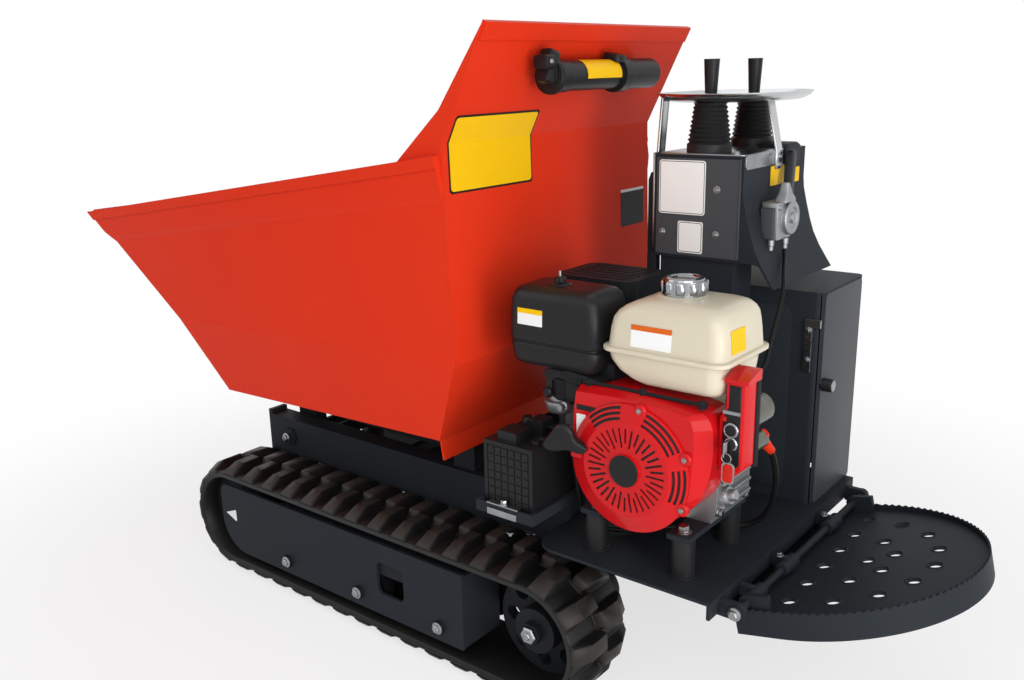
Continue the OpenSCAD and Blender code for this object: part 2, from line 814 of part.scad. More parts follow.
module engine_block() color("#5d6064") placed() {
    block([bed_x[0] + bed_t, bed_x[1] - bed_t], [mount_ys[0] - bed_w / 2, case_y[1]],
        [engine_base, engine_base + bed_t]);
    along_y(case_y) soft_rect(case_x, [engine_base, case_top], case_corner);
    block(head_block_x, [case_y[0] + head_inset, case_y[1] - head_inset], head_block_z);
    translate([cyl_from_x, (case_y[0] + case_y[1] - cyl_size[1]) / 2, cyl_from_z]) rotate([0, -cyl_lean, 0]) {
        cube(cyl_size);
        for (k = [1 : fin_count])
            translate([cyl_size[0] * k / (fin_count + 1), -head_inset, -fin_reach])
                cube([cyl_size[0] / (fin_count + 1) * fin_fill_share, cyl_size[1] + 2 * head_inset,
                    cyl_size[2] + 2 * fin_reach]);
    }
}

function shroud_front(q) =
    let (p = [crank_x, crank_z] + (q - [crank_x, crank_z]) * (1 - shroud_inset_share))
    [p[0] + shroud_pull * max(0, (shroud_turn_x - q[0]) / (shroud_turn_x - shroud_rear_x)),
        p[1] - shroud_pull * shroud_drop_share * max(0, (q[1] - shroud_turn_z) / (shroud_top - shroud_turn_z))];

module fan_shroud() color("#d01818") placed() hull() {
    along_y([shroud_y[0], shroud_round_y]) polygon(shroud_outline);
    along_y([shroud_round_y, shroud_y[1]]) polygon([for (q = shroud_outline) shroud_front(q)]);
}

module recoil_cover() color("#d01818") placed() difference() {
    union() {
        translate([crank_x, 0, crank_z]) rotate([-90, 0, 0]) rotate_extrude($fn = round_n) polygon([[0, recoil_y[0]],
            [recoil_r, recoil_y[0]], [recoil_r, recoil_y[0] + recoil_edge], [recoil_face_r, recoil_y[1]],
            [0, recoil_y[1]]]);
        disc_y(crank_x, crank_z, recoil_hub_r, [recoil_y[1] - over, recoil_y[1] + recoil_hub_t], round_n);
        block(rope_boss_x, [recoil_y[0], recoil_y[1] - seat_gap], rope_boss_z);
    }
    for (k = [1 : slot_count]) let (from = slot_from[k % 2]) translate([crank_x, fan_face_y, crank_z])
        rotate([0, 360 * k / slot_count, 0]) translate([from, -slot_depth, -slot_w / 2])
            cube([slot_to - from, slot_depth + over, slot_w]);
    translate([crank_x, 0, crank_z]) for (rs = vent_rings, angles = vent_angles) mirror([1, 0, 0])
        along_y([recoil_y[0] + vent_floor, recoil_y[1] + over]) ring_sector(rs, angles, vent_steps);
}

module recoil_grip() color("#18181a") placed() translate([grip_x, recoil_y[1] + grip_r, grip_z]) rotate([0, 90, 0])
    cylinder(r = grip_r, h = grip_len, center = true, $fn = small_n);

module fuel_tank() color("#e4dac3") placed() {
    us = [tank_x[0] + tank_flange_t, tank_x[1] - tank_flange_t];
    vs = [tank_y[0] + tank_flange_t, tank_y[1] - tank_flange_t];
    difference() {
        union() {
            hull() {
                along_z([tank_flange_z[0] + tank_seat, tank_flange_z[1]]) soft_rect(us, vs, tank_corner);
                for (x = [us[0] + tank_corner, us[1] - tank_corner], y = [vs[0] + tank_corner, vs[1] - tank_corner])
                    translate([x, y, tank_z[1] - tank_corner]) sphere(tank_corner, $fn = small_n);
            }
            hull() {
                along_z([tank_flange_z[0], tank_flange_z[1] - tank_seat]) soft_rect(us, vs, tank_corner);
                along_z([tank_z[0], tank_z[0] + tank_seat]) soft_rect([us[0] + tank_ends[0], us[1] - tank_ends[1]],
                    [vs[0] + tank_taper, vs[1] - tank_taper], tank_corner);
            }
            along_z(tank_flange_z) soft_rect(tank_x, tank_y, tank_corner);
        }
        block([key_lid_x[0] - over, key_lid_x[1] + seat_gap], [key_box_y[0] - seat_gap, key_lid_y + seat_gap],
            [tank_z[0] - over, key_lid_top + seat_gap]);
    }
    block(tank_saddle_x, tank_saddle_y, [case_top, tank_z[0] + tank_seat]);
}

module fuel_cap() color("#c9ccd0") placed() translate([cap_x, cap_y, tank_z[1]])
    cylinder(r = cap_r, h = cap_h, $fn = round_n);

module air_cleaner() color("#1f1f21") placed() {
    hull() {
        along_y([cleaner_y[0] + cleaner_edge, cleaner_y[1] - cleaner_edge])
            soft_rect(cleaner_x, cleaner_z, cleaner_corner);
        along_y(cleaner_y) soft_rect([cleaner_x[0] + cleaner_edge, cleaner_x[1] - cleaner_edge],
            [cleaner_z[0] + cleaner_edge, cleaner_z[1] - cleaner_edge], cleaner_corner - cleaner_edge);
    }
    block(cleaner_base_x, cleaner_base_y, [cleaner_base_z[0], cleaner_base_z[1] + tank_seat]);
}

module carburettor() color("#77797d") placed() {
    block(carb_x, carb_y, [head_block_z[1], head_block_z[1] + carb_flange_t]);
    block(carb_x, carb_y, [cleaner_base_z[0] - carb_flange_t, cleaner_base_z[0]]);
    block([carb_x[0] + carb_inset, carb_x[1] - carb_inset], [carb_y[0] + carb_inset, carb_y[1] - carb_inset],
        [head_block_z[1], cleaner_base_z[0]]);
    translate([bowl_x, bowl_y, bowl_z[0]]) cylinder(r = bowl_r, h = bowl_z[1] - bowl_z[0], $fn = round_n);
}

module muffler() color("#1f1f21") placed() {
    difference() {
        along_z(muffler_z) soft_rect(muffler_x, muffler_y, muffler_corner);
        for (k = [1 : muffler_slots]) let (y = muffler_y[0] + (muffler_y[1] - muffler_y[0]) * k / (muffler_slots + 1))
            block(muffler_slot_x, [y - muffler_slot_w / 2, y + muffler_slot_w / 2],
                [muffler_z[1] - muffler_slot_depth, muffler_z[1] + over]);
    }
    block(exhaust_x, exhaust_y, [exhaust_low, muffler_z[0]]);
}

module key_box() color("#d01818") placed() {
    along_y(key_box_y) polygon([[key_box_x[0], key_box_z[0] + key_foot], [key_box_x[0] + key_foot, key_box_z[0]],
        [key_box_x[1] - key_foot, key_box_z[0]], [key_box_x[1], key_box_z[0] + key_foot], [key_box_x[1], key_step_z[0]],
        [key_step_x, key_step_z[1]], [key_step_x, key_box_z[1]], [key_box_x[0], key_box_z[1]]]);
    translate([key_lid_x[0], 0, 0]) rotate([90, 0, 90]) linear_extrude(key_lid_x[1] - key_lid_x[0]) polygon([
        [key_box_y[0], key_box_z[1] - over], [key_lid_y, key_box_z[1] - over], [key_lid_y, key_lid_top - key_slope],
        [key_box_y[0] + key_slope, key_lid_top], [key_box_y[0], key_lid_top]]);
}

module starter_motor() color("#9a9da1") placed() {
    translate([starter_x, 0, starter_z]) rotate([-90, 0, 0]) rotate_extrude($fn = round_n) polygon([[0, starter_y[0]],
        [starter_r - starter_dome, starter_y[0]],
        [starter_r - starter_dome * starter_dome_share, starter_y[0] + starter_dome * starter_dome_share],
        [starter_r, starter_y[0] + starter_dome], [starter_r, starter_y[1]], [0, starter_y[1]]]);
    disc_y(solenoid_x, solenoid_z, solenoid_r, solenoid_y, round_n);
    block([starter_x, case_x[0]], starter_tie_y, starter_tie_z);
}

module hydraulic_pump() color("#3a3d42") placed() {
    disc_y(crank_x, crank_z, pump_flange_r, [pump_y[1] - pump_flange_t, pump_y[1]], round_n);
    disc_y(crank_x, crank_z, pump_r, [pump_y[0], pump_y[1] - pump_flange_t], round_n);
}

// battery
module battery() color("#18181a") placed() {
    us = [battery_x[0] + battery_margin, battery_x[1] - battery_margin];
    vs = [battery_z[0] + battery_margin, battery_z[1] - battery_margin];
    depth = [battery_y[1] - battery_groove_t, battery_y[1] + over];
    difference() {
        block(battery_x, battery_y, battery_z);
        for (k = [0 : battery_cells[0]]) let (x = us[0] + (us[1] - us[0]) * k / battery_cells[0])
            block([x - battery_groove_w / 2, x + battery_groove_w / 2], depth, vs);
        for (k = [0 : battery_cells[1]]) let (z = vs[0] + (vs[1] - vs[0]) * k / battery_cells[1])
            block(us, depth, [z - battery_groove_w / 2, z + battery_groove_w / 2]);
    }
    block(battery_cap_x, battery_cap_y, [battery_z[1] - over, battery_z[1] + battery_cap_h]);
    block(post_cap_x, post_cap_y, [battery_z[1] - over, battery_z[1] + post_cap_h]);
}

module battery_tray() color("#2e3238") placed() {
    block(tray_x, tray_y, tray_z);
    for (xs = [[tray_x[0], battery_x[0] - over], [battery_x[1] + over, tray_x[1]]])
        block(xs, tray_y, [tray_z[0], tray_z[1] + tray_lip]);
    block(tray_x, [tray_y[1] - tray_lip_t, tray_y[1]], [tray_z[0], tray_z[1] + tray_lip]);
    block(tray_post_x, tray_post_y, [rail_top, tray_z[0]]);
}

// console and oil tank
module console_tower() color("#2e3238") placed() {
    end = len(console_rear) - 1;
    inner = [for (q = console_rear) [q[0] + console_t, q[1] - console_t / 2]];
    difference() {
        along_y(console_y) polygon(concat([[console_x[1], console_z[0]], [console_x[1], console_z[1]],
            [console_x[0], console_z[1]]], console_rear, [for (k = [end : -1 : end - 2]) inner[k]],
            [[inner[end - 3][0], console_z[0]]]));
        along_y([console_y[0] + console_t, console_y[1] - console_t]) polygon(concat([
            [console_x[1] - console_t, console_z[0] - over], [console_x[1] - console_t, console_z[1] - console_t],
            [console_x[0] + console_t, console_z[1] - console_t]], [for (k = [0 : end - 3]) inner[k]],
            [[inner[end - 3][0], console_z[0] - over]]));
    }
    difference() {
        block(column_x, column_y, [deck_top, console_z[1] - half_share * console_t]);
        block([column_x[0] + console_t, column_x[1] - console_t], [column_y[0] + console_t, column_y[1] - console_t],
            [deck_top - over, console_z[1] - console_t]);
    }
}

module console_cover() color("#424246") placed() block([console_x[0] + cover_inset, console_x[1] - cover_inset],
    [console_y[1], console_y[1] + cover_t], [console_z[0] + cover_inset, console_z[1] - cover_inset]);

module lever_boots() color("#18181a") placed() for (y = boot_ys) translate([boot_x, y, console_z[1]])
    difference() {
        rotate_extrude($fn = round_n) polygon(concat([[0, 0], [boot_r, 0], [boot_r, boot_band]],
            [for (k = [0 : boot_folds - 1], s = [1, 2])
                let (f = (k + s / 2) / boot_folds, r = boot_r + (boot_neck_r - boot_r) * f)
                [s == 2 ? r : r * boot_fold_share, boot_band + (boot_h - boot_band) * f]],
            [[0, boot_h]]));
        translate([0, 0, -over]) cylinder(r = lever_r, h = boot_h + 2 * over, $fn = small_n);
    }

module control_levers() color("#18181a") placed() for (y = boot_ys) translate([boot_x, y, 0]) {
    translate([0, 0, console_z[1]]) cylinder(r = lever_r, h = lever_grip_top - console_z[1] - over, $fn = small_n);
    translate([0, 0, lever_top])
        cylinder(r1 = lever_grip_low_r, r2 = lever_grip_r, h = lever_grip_top - lever_top, $fn = round_n);
}

module lever_guard() color("#b9bcc0") placed() {
    mid_y = (boot_ys[0] + boot_ys[1]) / 2;
    difference() {
        along_z(guard_z) soft_rect(guard_x, guard_y, guard_corner);
        for (y = boot_ys) translate([boot_x - guard_slot_x / 2, y - guard_slot_y / 2, guard_z[0] - over])
            cube([guard_slot_x, guard_slot_y, guard_z[1] - guard_z[0] + 2 * over]);
    }
    along_z([guard_z[0] - guard_rim, guard_z[1] - over]) difference() {
        soft_rect(guard_x, guard_y, guard_corner);
        soft_rect([guard_x[0] + guard_rim_t, guard_x[1] - guard_rim_t],
            [guard_y[0] + guard_rim_t, guard_y[1] - guard_rim_t], guard_corner - guard_rim_t);
    }
    along_y([mid_y - guard_post_w / 2, mid_y + guard_post_w / 2]) polygon([[console_x[0], console_z[1]],
        [console_x[0] + guard_post_lean, guard_z[0] + over],
        [console_x[0] + guard_post_lean - guard_post_t, guard_z[0] + over],
        [console_x[0] - guard_post_t, console_z[1]], [console_x[0] - guard_post_t, console_z[1] - guard_post_grip],
        [console_x[0], console_z[1] - guard_post_grip]]);
    along_y([guard_front_y - guard_post_w / 2, guard_front_y + guard_post_w / 2]) polygon([
        [console_x[1], console_z[1]], [console_x[1] - guard_post_lean, guard_z[0] + over],
        [console_x[1] - guard_post_lean + guard_post_t, guard_z[0] + over],
        [console_x[1] + guard_post_t, console_z[1]], [console_x[1] + guard_post_t, console_z[1] - guard_post_grip],
        [console_x[1], console_z[1] - guard_post_grip]]);
}

module throttle_unit() color("#8b8e92") placed() difference() {
    union() {
        block([unit_small[0][1] - unit_plate_t, unit_small[0][1] + unit_plate_t], unit_plate_y, unit_plate_z);
        block(unit_small[0], unit_small[1], unit_small[2]);
        block(unit_large[0], unit_large[1], unit_large[2]);
        translate([unit_disc_x[0], unit_disc_y, unit_disc_z]) rotate([0, 90, 0])
            cylinder(r = unit_disc_r, h = unit_disc_x[1] - unit_disc_x[0], $fn = round_n);
        translate([unit_nub_x, unit_nub_y, unit_nub_z[0]])
            cylinder(r = unit_nub_r, h = unit_nub_z[1] - unit_nub_z[0], $fn = small_n);
        for (q = unit_ferrules) translate([q[0], q[1], unit_ferrule_low])
            cylinder(r = unit_nub_r, h = unit_large[2][0] + unit_nub_r - unit_ferrule_low, $fn = small_n);
    }
    along_y([console_y[0], console_y[1]]) polygon(concat([[console_x[1], console_z[0]], [console_x[1], console_z[1]],
        [console_x[0] - seat_gap, console_z[1]]],
        [for (k = [0 : len(console_rear) - 3]) console_rear[k] - [seat_gap, 0]]));
}

module oil_tank() color("#2e3238") placed() difference() {
    along_z([deck_top, box_top]) soft_rect(box_x, box_y, box_corner);
    block([box_x[0] + console_t, box_x[1] - console_t], [box_y[0] + console_t, box_y[1] - console_t],
        [deck_top - over, box_top - console_t]);
}

module platform_catch() color("#b9bcc0") placed() {
    block([catch_x[0], catch_x[0] + catch_w], [box_y[1], box_y[1] + catch_t], catch_z);
    block([catch_x[0] - catch_w, catch_x[0] + catch_w], [box_y[1], box_y[1] + catch_t],
        [catch_z[1] - catch_w, catch_z[1]]);
    translate([box_x[0] - buffer_len, box_y[1] - 2 * buffer_r, buffer_z]) rotate([0, 90, 0])
        cylinder(r = buffer_r, h = buffer_len, $fn = small_n);
}

module starter_cable() color("#141416") placed() tube(starter_route, cable_r, cable_sides);

module throttle_cable() color("#141416") placed() tube(throttle_route, throttle_r, cable_sides);

// skip pieces
function left_of(a, b) = let (d = unit(b - a)) [-d[1], d[0]];
function mitre(a, b, c, t) = let (m = left_of(a, b), n = left_of(b, c)) b + (m + n) * t / (1 + m * n);
function off_end(a, b, t) = a + left_of(a, b) * t;

lip_pt = [lip_x, lip_z];
fold_front_pt = [fold_front_x, fold_front_z];
floor_front_pt = [floor_front_x, floor_front_z];
floor_rear_pt = [floor_rear_x, floor_rear_z];
fold_rear_pt = [fold_rear_x, fold_rear_z];
head_fold_pt = [head_fold_x, head_fold_z];
head_pt = [head_x, head_z];
floor_front_in = mitre(fold_front_pt, floor_front_pt, floor_rear_pt, -wall_t);
floor_rear_in = mitre(floor_front_pt, floor_rear_pt, fold_rear_pt, -wall_t);
skip_line = [lip_pt, [wing_x, wing_z], [wing_mid_x, wing_mid_z], head_pt, head_fold_pt, fold_rear_pt,
    floor_rear_pt, floor_front_pt, fold_front_pt];

// skip volume between the sides, taken in from the outer faces
module skip_core(inset) {
    run = lip_x - head_x;
    drop = fold_front_z - floor_front_z;
    rise = head_z - fold_front_z;
    slope = (skip_half - floor_half) / drop;
    translate([lip_x, 0, fold_front_z - (lip_x - fold_front_x) * fold_slope]) rotate([0, fold_lean, 0])
        translate([-run * core_back_share, 0, 0]) rotate([90, 0, 90]) linear_extrude(run * core_len_share) polygon([
            [-skip_half + inset, 0], [-skip_half + inset + slope * drop * 2, -drop * 2],
            [skip_half - inset - slope * drop * 2, -drop * 2], [skip_half - inset, 0],
            [skip_half - inset, rise * 2], [-skip_half + inset, rise * 2]]);
}

module skip_panel(points) intersection() {
    skip_core(wall_t);
    along_y([-skip_half, skip_half]) polygon(points);
}

module skip_floor() color("#e03a20") placed() {
    skip_panel([floor_front_pt, floor_front_in, floor_rear_in, floor_rear_pt]);
    skip_panel([floor_rear_pt, floor_rear_pt - [0, skirt_h], floor_rear_pt + [wall_t, -skirt_h],
        floor_rear_pt + [wall_t, wall_t / 2]]);
}

module skip_front() color("#e03a20") placed() {
    fold_in = mitre(lip_pt, fold_front_pt, floor_front_pt, -wall_t);
    skip_panel([lip_pt, off_end(lip_pt, fold_front_pt, -wall_t), fold_in, floor_front_in, floor_front_pt,
        fold_front_pt]);
}

module skip_headboard() color("#e03a20") placed() {
    fold_in = mitre(floor_rear_pt, fold_rear_pt, head_fold_pt, -wall_t);
    head_fold_in = mitre(fold_rear_pt, head_fold_pt, head_pt, -wall_t);
    out = left_of(head_fold_pt, head_pt);
    hem_pt = head_pt + unit(head_fold_pt - head_pt) * hem_h;
    skip_panel([floor_rear_pt, floor_rear_in, fold_in, head_fold_in, head_pt - out * wall_t, head_pt + out * hem_t,
        hem_pt + out * hem_t, hem_pt, head_fold_pt, fold_rear_pt]);
}

module skip_side() {
    difference() {
        intersection() {
            skip_core(0);
            along_y([0, skip_half]) polygon(skip_line);
        }
        skip_core(wall_t);
    }
    intersection() {
        along_y([0, skip_half + bead_t + over]) polygon(skip_line);
        translate([lip_x, skip_half, lip_z]) rotate([0, rim_lean, 0]) translate([-rim_run, 0, 0])
            rotate([90, 0, 90]) linear_extrude(rim_run) polygon([[-wall_t / 2, -over], [bead_t, -over],
                [bead_t, -bead_h], [band_t, -bead_h], [band_t, band_slope - band_h], [0, -band_h],
                [-wall_t / 2, -band_h]]);
    }
}

module skip_side_left() color("#e03a20") placed() skip_side();

module skip_side_right() color("#e03a20") placed() mirror([0, 1, 0]) skip_side();

module skip_bearers() color("#26292d") placed() difference() {
    union() {
        mirrored() along_y(bearer_y) polygon([[bearer_x[0], bearer_low], [bearer_x[1], bearer_low],
            [bearer_x[1], floor_front_z], [floor_front_x, floor_front_z],
            [bearer_x[0], floor_front_z + (floor_front_x - bearer_x[0]) * fold_slope]]);
        mirrored() along_y(bearer_y) union() {
            translate([pivot_x, pivot_z]) circle(pivot_lug_r, $fn = round_n);
            translate([pivot_x - pivot_lug_r, pivot_z]) square([2 * pivot_lug_r, bearer_low - pivot_z]);
        }
        block(rest_x, [-rail_y + bed_t, rail_y - bed_t], [rest_low, floor_front_z]);
        mirrored() block(rest_x, [rail_y - rail_w, rail_y - bed_t], [rail_top + seat_gap, rest_low]);
        mirrored() block(eye_tie_x, [eye_lug_y[0], bearer_y[0]], [eye_tie_low, floor_front_z]);
        mirrored() along_y(eye_lug_y) union() {
            translate([ram_eye_x, ram_eye_z]) circle(eye_lug_r, $fn = round_n);
            polygon([[ram_eye_x - eye_lug_r, ram_eye_z], [ram_eye_x + eye_lug_r, ram_eye_z],
                [eye_tie_x[1], floor_front_z + (floor_front_x - eye_tie_x[1]) * fold_slope],
                [eye_tie_x[0], floor_front_z + (floor_front_x - eye_tie_x[0]) * fold_slope]]);
        }
    }
    disc_y(pivot_x, pivot_z, pivot_r + run_gap, [-bearer_y[1] - over, bearer_y[1] + over], round_n);
}

module document_tube() color("#18181a") placed() {
    head_lean = (head_fold_x - head_x) / (head_z - head_fold_z);
    doc_x = head_fold_x - (doc_z - head_fold_z) * head_lean - doc_cap_r - doc_clamp_w;
    disc_y(doc_x, doc_z, doc_r, doc_y, round_n);
    disc_y(doc_x, doc_z, doc_cap_r, [doc_y[0] - doc_cap_len / 2, doc_sleeve_y], round_n);
    disc_y(doc_x, doc_z, doc_cap_r, [doc_y[1] - doc_cap_len, doc_y[1] + doc_cap_len / 2], round_n);
    disc_y(doc_x, doc_z, doc_collar_r, doc_collar_y, round_n);
    for (f = doc_clamp_shares) let (y = doc_y[0] + (doc_y[1] - doc_y[0]) * f)
        block([doc_x, head_fold_x - (doc_z - head_fold_z) * head_lean - seat_gap],
            [y - doc_clamp_w / 2, y + doc_clamp_w / 2], [doc_z - doc_clamp_w, doc_z]);
}

// platform, built flat from the hinge line and then turned up to its rest
module platform_outline(inset) translate([-step_front, 0]) {
    translate([-step_straight, 0]) intersection() {
        circle(step_half - inset, $fn = 2 * round_n);
        translate([-step_half - over, -step_half]) square([step_half + over, 2 * step_half]);
    }
    translate([-step_straight, -step_half + inset]) square([step_straight - inset, 2 * (step_half - inset)]);
}

module platform() color("#2e3238") placed() translate([hinge_x, 0, hinge_z]) rotate([0, step_tilt, 0])
    difference() {
        union() {
            translate([0, 0, step_plate_z - deck_t]) linear_extrude(deck_t) platform_outline(step_wall / 2);
            translate([0, 0, step_top_z - step_rim]) linear_extrude(step_rim) difference() {
                platform_outline(0);
                platform_outline(step_wall);
            }
            mirrored() along_y(step_lug_y) union() {
                circle(step_lug_r, $fn = round_n);
                translate([-step_lug_run, step_plate_z]) square([step_lug_run, step_lug_r - step_plate_z]);
            }
        }
        disc_y(0, 0, hinge_rod_r + run_gap, [-step_half, step_half], round_n);
        for (q = step_holes, side = [-1, 1])
            translate([-q[0], side * q[1], step_plate_z - deck_t - over])
                cylinder(r = step_hole_r, h = deck_t + 2 * over, $fn = small_n);
    }

// tipping ram, built along +X from its base eye
module ram_place() placed() translate([ram_base_x, 0, ram_base_z]) rotate([0, -ram_lean, 0]) children();

module ram_barrel() color("#26292d") ram_place() difference() {
    union() {
        disc_y(0, 0, barrel_eye_r, [-barrel_eye_w / 2, barrel_eye_w / 2], round_n);
        block([0, barrel_from], [-barrel_eye_w / 2, barrel_eye_w / 2], [-rod_r, rod_r]);
        translate([barrel_from, 0, 0]) rotate([0, 90, 0])
            cylinder(r = barrel_r, h = barrel_len, $fn = round_n);
        translate([barrel_from + barrel_len - gland_len, 0, 0]) rotate([0, 90, 0])
            cylinder(r = gland_r, h = gland_len, $fn = round_n);
    }
    disc_y(0, 0, ram_pin_r + run_gap, [-barrel_eye_w, barrel_eye_w], round_n);
    translate([barrel_from * 2, 0, 0]) rotate([0, 90, 0])
        cylinder(r = rod_r + run_gap, h = barrel_len + over, $fn = round_n);
}

module ram_rod() color("#c9ccd0") ram_place() {
    translate([ram_len - rod_inside, 0, 0]) rotate([0, 90, 0]) cylinder(r = rod_r, h = rod_inside, $fn = round_n);
    disc_y(ram_len, 0, rod_eye_r, [-rod_eye_w / 2, rod_eye_w / 2], round_n);
}

chassis_rail_left();
chassis_rail_right();
chassis_crossmembers();
pivot_pins();
engine_deck();
platform_hinge_rod();
track_left();
track_right();
track_frames();
track_covers();
track_rollers();
track_idlers();
drive_sprockets();
drive_motors();
engine_mounts();
engine_bed();
engine_block();
fan_shroud();
recoil_cover();
recoil_grip();
fuel_tank();
fuel_cap();
air_cleaner();
carburettor();
muffler();
key_box();
starter_motor();
hydraulic_pump();
battery();
battery_tray();
console_tower();
console_cover();
lever_boots();
control_levers();
lever_guard();
throttle_unit();
oil_tank();
platform_catch();
starter_cable();
throttle_cable();
skip_floor();
skip_front();
skip_side_left();
skip_side_right();
skip_headboard();
skip_bearers();
document_tube();
platform();
ram_barrel();
ram_rod();
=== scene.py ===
"""A tracked site dumper with a front tipping skip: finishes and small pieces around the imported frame."""
import math

import bmesh
import bpy
from mathutils import Matrix, Vector


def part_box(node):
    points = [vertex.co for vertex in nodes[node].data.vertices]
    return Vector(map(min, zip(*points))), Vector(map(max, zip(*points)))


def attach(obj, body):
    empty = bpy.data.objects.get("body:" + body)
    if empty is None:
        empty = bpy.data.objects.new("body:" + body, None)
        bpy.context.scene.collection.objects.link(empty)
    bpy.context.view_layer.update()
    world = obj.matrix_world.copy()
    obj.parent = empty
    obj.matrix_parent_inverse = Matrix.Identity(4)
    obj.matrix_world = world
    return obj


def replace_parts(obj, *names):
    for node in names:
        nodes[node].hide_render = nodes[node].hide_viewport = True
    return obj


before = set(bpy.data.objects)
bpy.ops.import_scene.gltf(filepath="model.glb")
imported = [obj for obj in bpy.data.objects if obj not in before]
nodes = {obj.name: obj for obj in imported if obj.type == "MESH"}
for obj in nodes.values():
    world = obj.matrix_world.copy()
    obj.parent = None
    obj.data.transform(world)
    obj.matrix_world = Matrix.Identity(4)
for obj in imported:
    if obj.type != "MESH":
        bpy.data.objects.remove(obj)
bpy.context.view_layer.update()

# The photograph was taken from the left rear, a little above the skip's rim.
# The camera stands where its lines meet, with the same focal length and frame.
PHOTO_W, FOCAL_PX = 1024, 987.163
SHIFT_X, SHIFT_Y = 0.0180, 0.0093
CAMERA_AT = Vector((-1.38688, 1.69000, 1.20193))
YAW, PITCH, ROLL = 0.6921, -0.2747, -0.0268
forward = Vector((math.sin(YAW) * math.cos(PITCH), -math.cos(YAW) * math.cos(PITCH), math.sin(PITCH)))
level = Vector((-math.cos(YAW), -math.sin(YAW), 0.0))
upright = level.cross(forward)
right = level * math.cos(ROLL) + upright * math.sin(ROLL)
up = upright * math.cos(ROLL) - level * math.sin(ROLL)
lens = bpy.data.cameras.new("photo_camera")
lens.sensor_fit = "HORIZONTAL"
lens.sensor_width = 36.0
lens.lens = FOCAL_PX / PHOTO_W * lens.sensor_width
lens.shift_x = SHIFT_X
lens.shift_y = SHIFT_Y
camera = bpy.data.objects.new("photo_camera", lens)
bpy.context.scene.collection.objects.link(camera)
turn = Matrix((right, up, -forward)).transposed().to_4x4()
camera.matrix_world = Matrix.Translation(CAMERA_AT) @ turn
bpy.context.scene.camera = camera
bpy.context.scene.view_settings.view_transform = "Standard"

# Places are in millimetres from the machine's datum near the drive sprocket, as on its drawing.
# The skip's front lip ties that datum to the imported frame.
LIP_X = 1474
DATUM = LIP_X / 1000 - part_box("skip_front")[1][0]


def at(x, y, z):
    return Vector((x / 1000 - DATUM, y / 1000, z / 1000))


# Two sleeved cables hang between their ends: the starter's lead, from its solenoid to the battery post,
# and the throttle's cable, from the lever unit to the governor on the crankcase.
# Both are stranded wire in an extruded black PVC sleeve, which gives a narrow, soft shine.
def linear(colour):
    parts = [int(colour[i:i + 2], 16) / 255 for i in (1, 3, 5)]
    return tuple(c / 12.92 if c <= 0.04045 else ((c + 0.055) / 1.055) ** 2.4 for c in parts) + (1.0,)


def add(tree, kind, inputs, **settings):
    node = tree.nodes.new("ShaderNode" + kind)
    for name, value in settings.items():
        setattr(node, name, value)
    for name, value in inputs.items():
        if isinstance(value, bpy.types.NodeSocket):
            tree.links.new(value, node.inputs[name])
        else:
            node.inputs[name].default_value = value
    return node


# A finish is one colour that clouds into a shade of it, with a grain of a real size in its skin.
def finish_of(name, colour, shade, rough, grain_mm, peel, edge_mm=1.0, coat=0.0, metal=0.0, cloud_mm=140,
              gloss=0.1):
    material = bpy.data.materials.new(name)
    material.use_nodes = True
    tree = material.node_tree
    tree.nodes.clear()
    place = add(tree, "TexCoord", {}).outputs["Object"]
    cloud = add(tree, "TexNoise", {"Vector": place, "Scale": 1000 / cloud_mm, "Detail": 4.0})
    grain = add(tree, "TexNoise", {"Vector": place, "Scale": 1000 / grain_mm, "Detail": 2.0})
    tone = add(tree, "Mix", {0: cloud.outputs["Fac"], 6: linear(shade), 7: linear(colour)}, data_type="RGBA")
    sheen = add(tree, "MapRange", {"Value": cloud.outputs["Fac"], "From Min": 0.0, "From Max": 1.0,
                                   "To Min": rough * 0.9, "To Max": min(1.0, rough * 1.1)})
    edge = add(tree, "Bevel", {"Radius": edge_mm / 1000}, samples=4)
    skin = add(tree, "Bump", {"Height": grain.outputs["Fac"], "Strength": peel, "Distance": grain_mm / 4000,
                              "Normal": edge.outputs[0]})
    body = add(tree, "BsdfPrincipled", {"Base Color": tone.outputs[2], "Roughness": sheen.outputs[0],
                                        "Normal": skin.outputs[0], "Metallic": metal, "Coat Weight": coat,
                                        "Coat Roughness": 0.06, "Specular IOR Level": gloss})
    add(tree, "OutputMaterial", {"Surface": body.outputs[0]})
    return material


def through(points, steps=4):
    ends = [points[0] * 2 - points[1], *points, points[-1] * 2 - points[-2]]
    line = []
    for a, b, c, d in zip(ends, ends[1:], ends[2:], ends[3:]):
        for t in (k / steps for k in range(steps)):
            line.append((b * 2 + (c - a) * t + (a * 2 - b * 5 + c * 4 - d) * t ** 2
                         + (b * 3 - a - c * 3 + d) * t ** 3) / 2)
    return line + [points[-1]]


sleeve_pvc = finish_of("black_pvc_sleeve", "#1B1B1C", "#141415", 0.42, 0.8, 0.08, cloud_mm=30)
STARTER_D, THROTTLE_D = 0.011, 0.008
STARTER_ROUTE = [(-290, 109.7, 556), (-290, 100, 556), (-294, 90, 546), (-299, 78, 524), (-302, 62, 484),
                 (-299, 50, 444), (-288, 38, 400), (-266, 30, 362), (-236, 38, 342), (-190, 70, 340),
                 (-140, 110, 340), (-100, 150, 340), (-60, 190, 340), (-14, 222, 350), (0, 242, 384),
                 (2, 258, 430), (2, 266, 474), (8, 269, 510), (22, 270, 536), (42, 270, 549),
                 (63.7, 270, 550)]
THROTTLE_ROUTE = [(-214, -133, 856.7), (-214, -133, 847), (-220, -122, 838), (-232, -94, 824),
                  (-245, -64, 808), (-253, -44, 786), (-256, -24, 758), (-257, 6, 710), (-257, 28, 668),
                  (-248, 64, 640), (-236, 106, 624), (-230, 120, 610), (-230, 120, 600.3)]
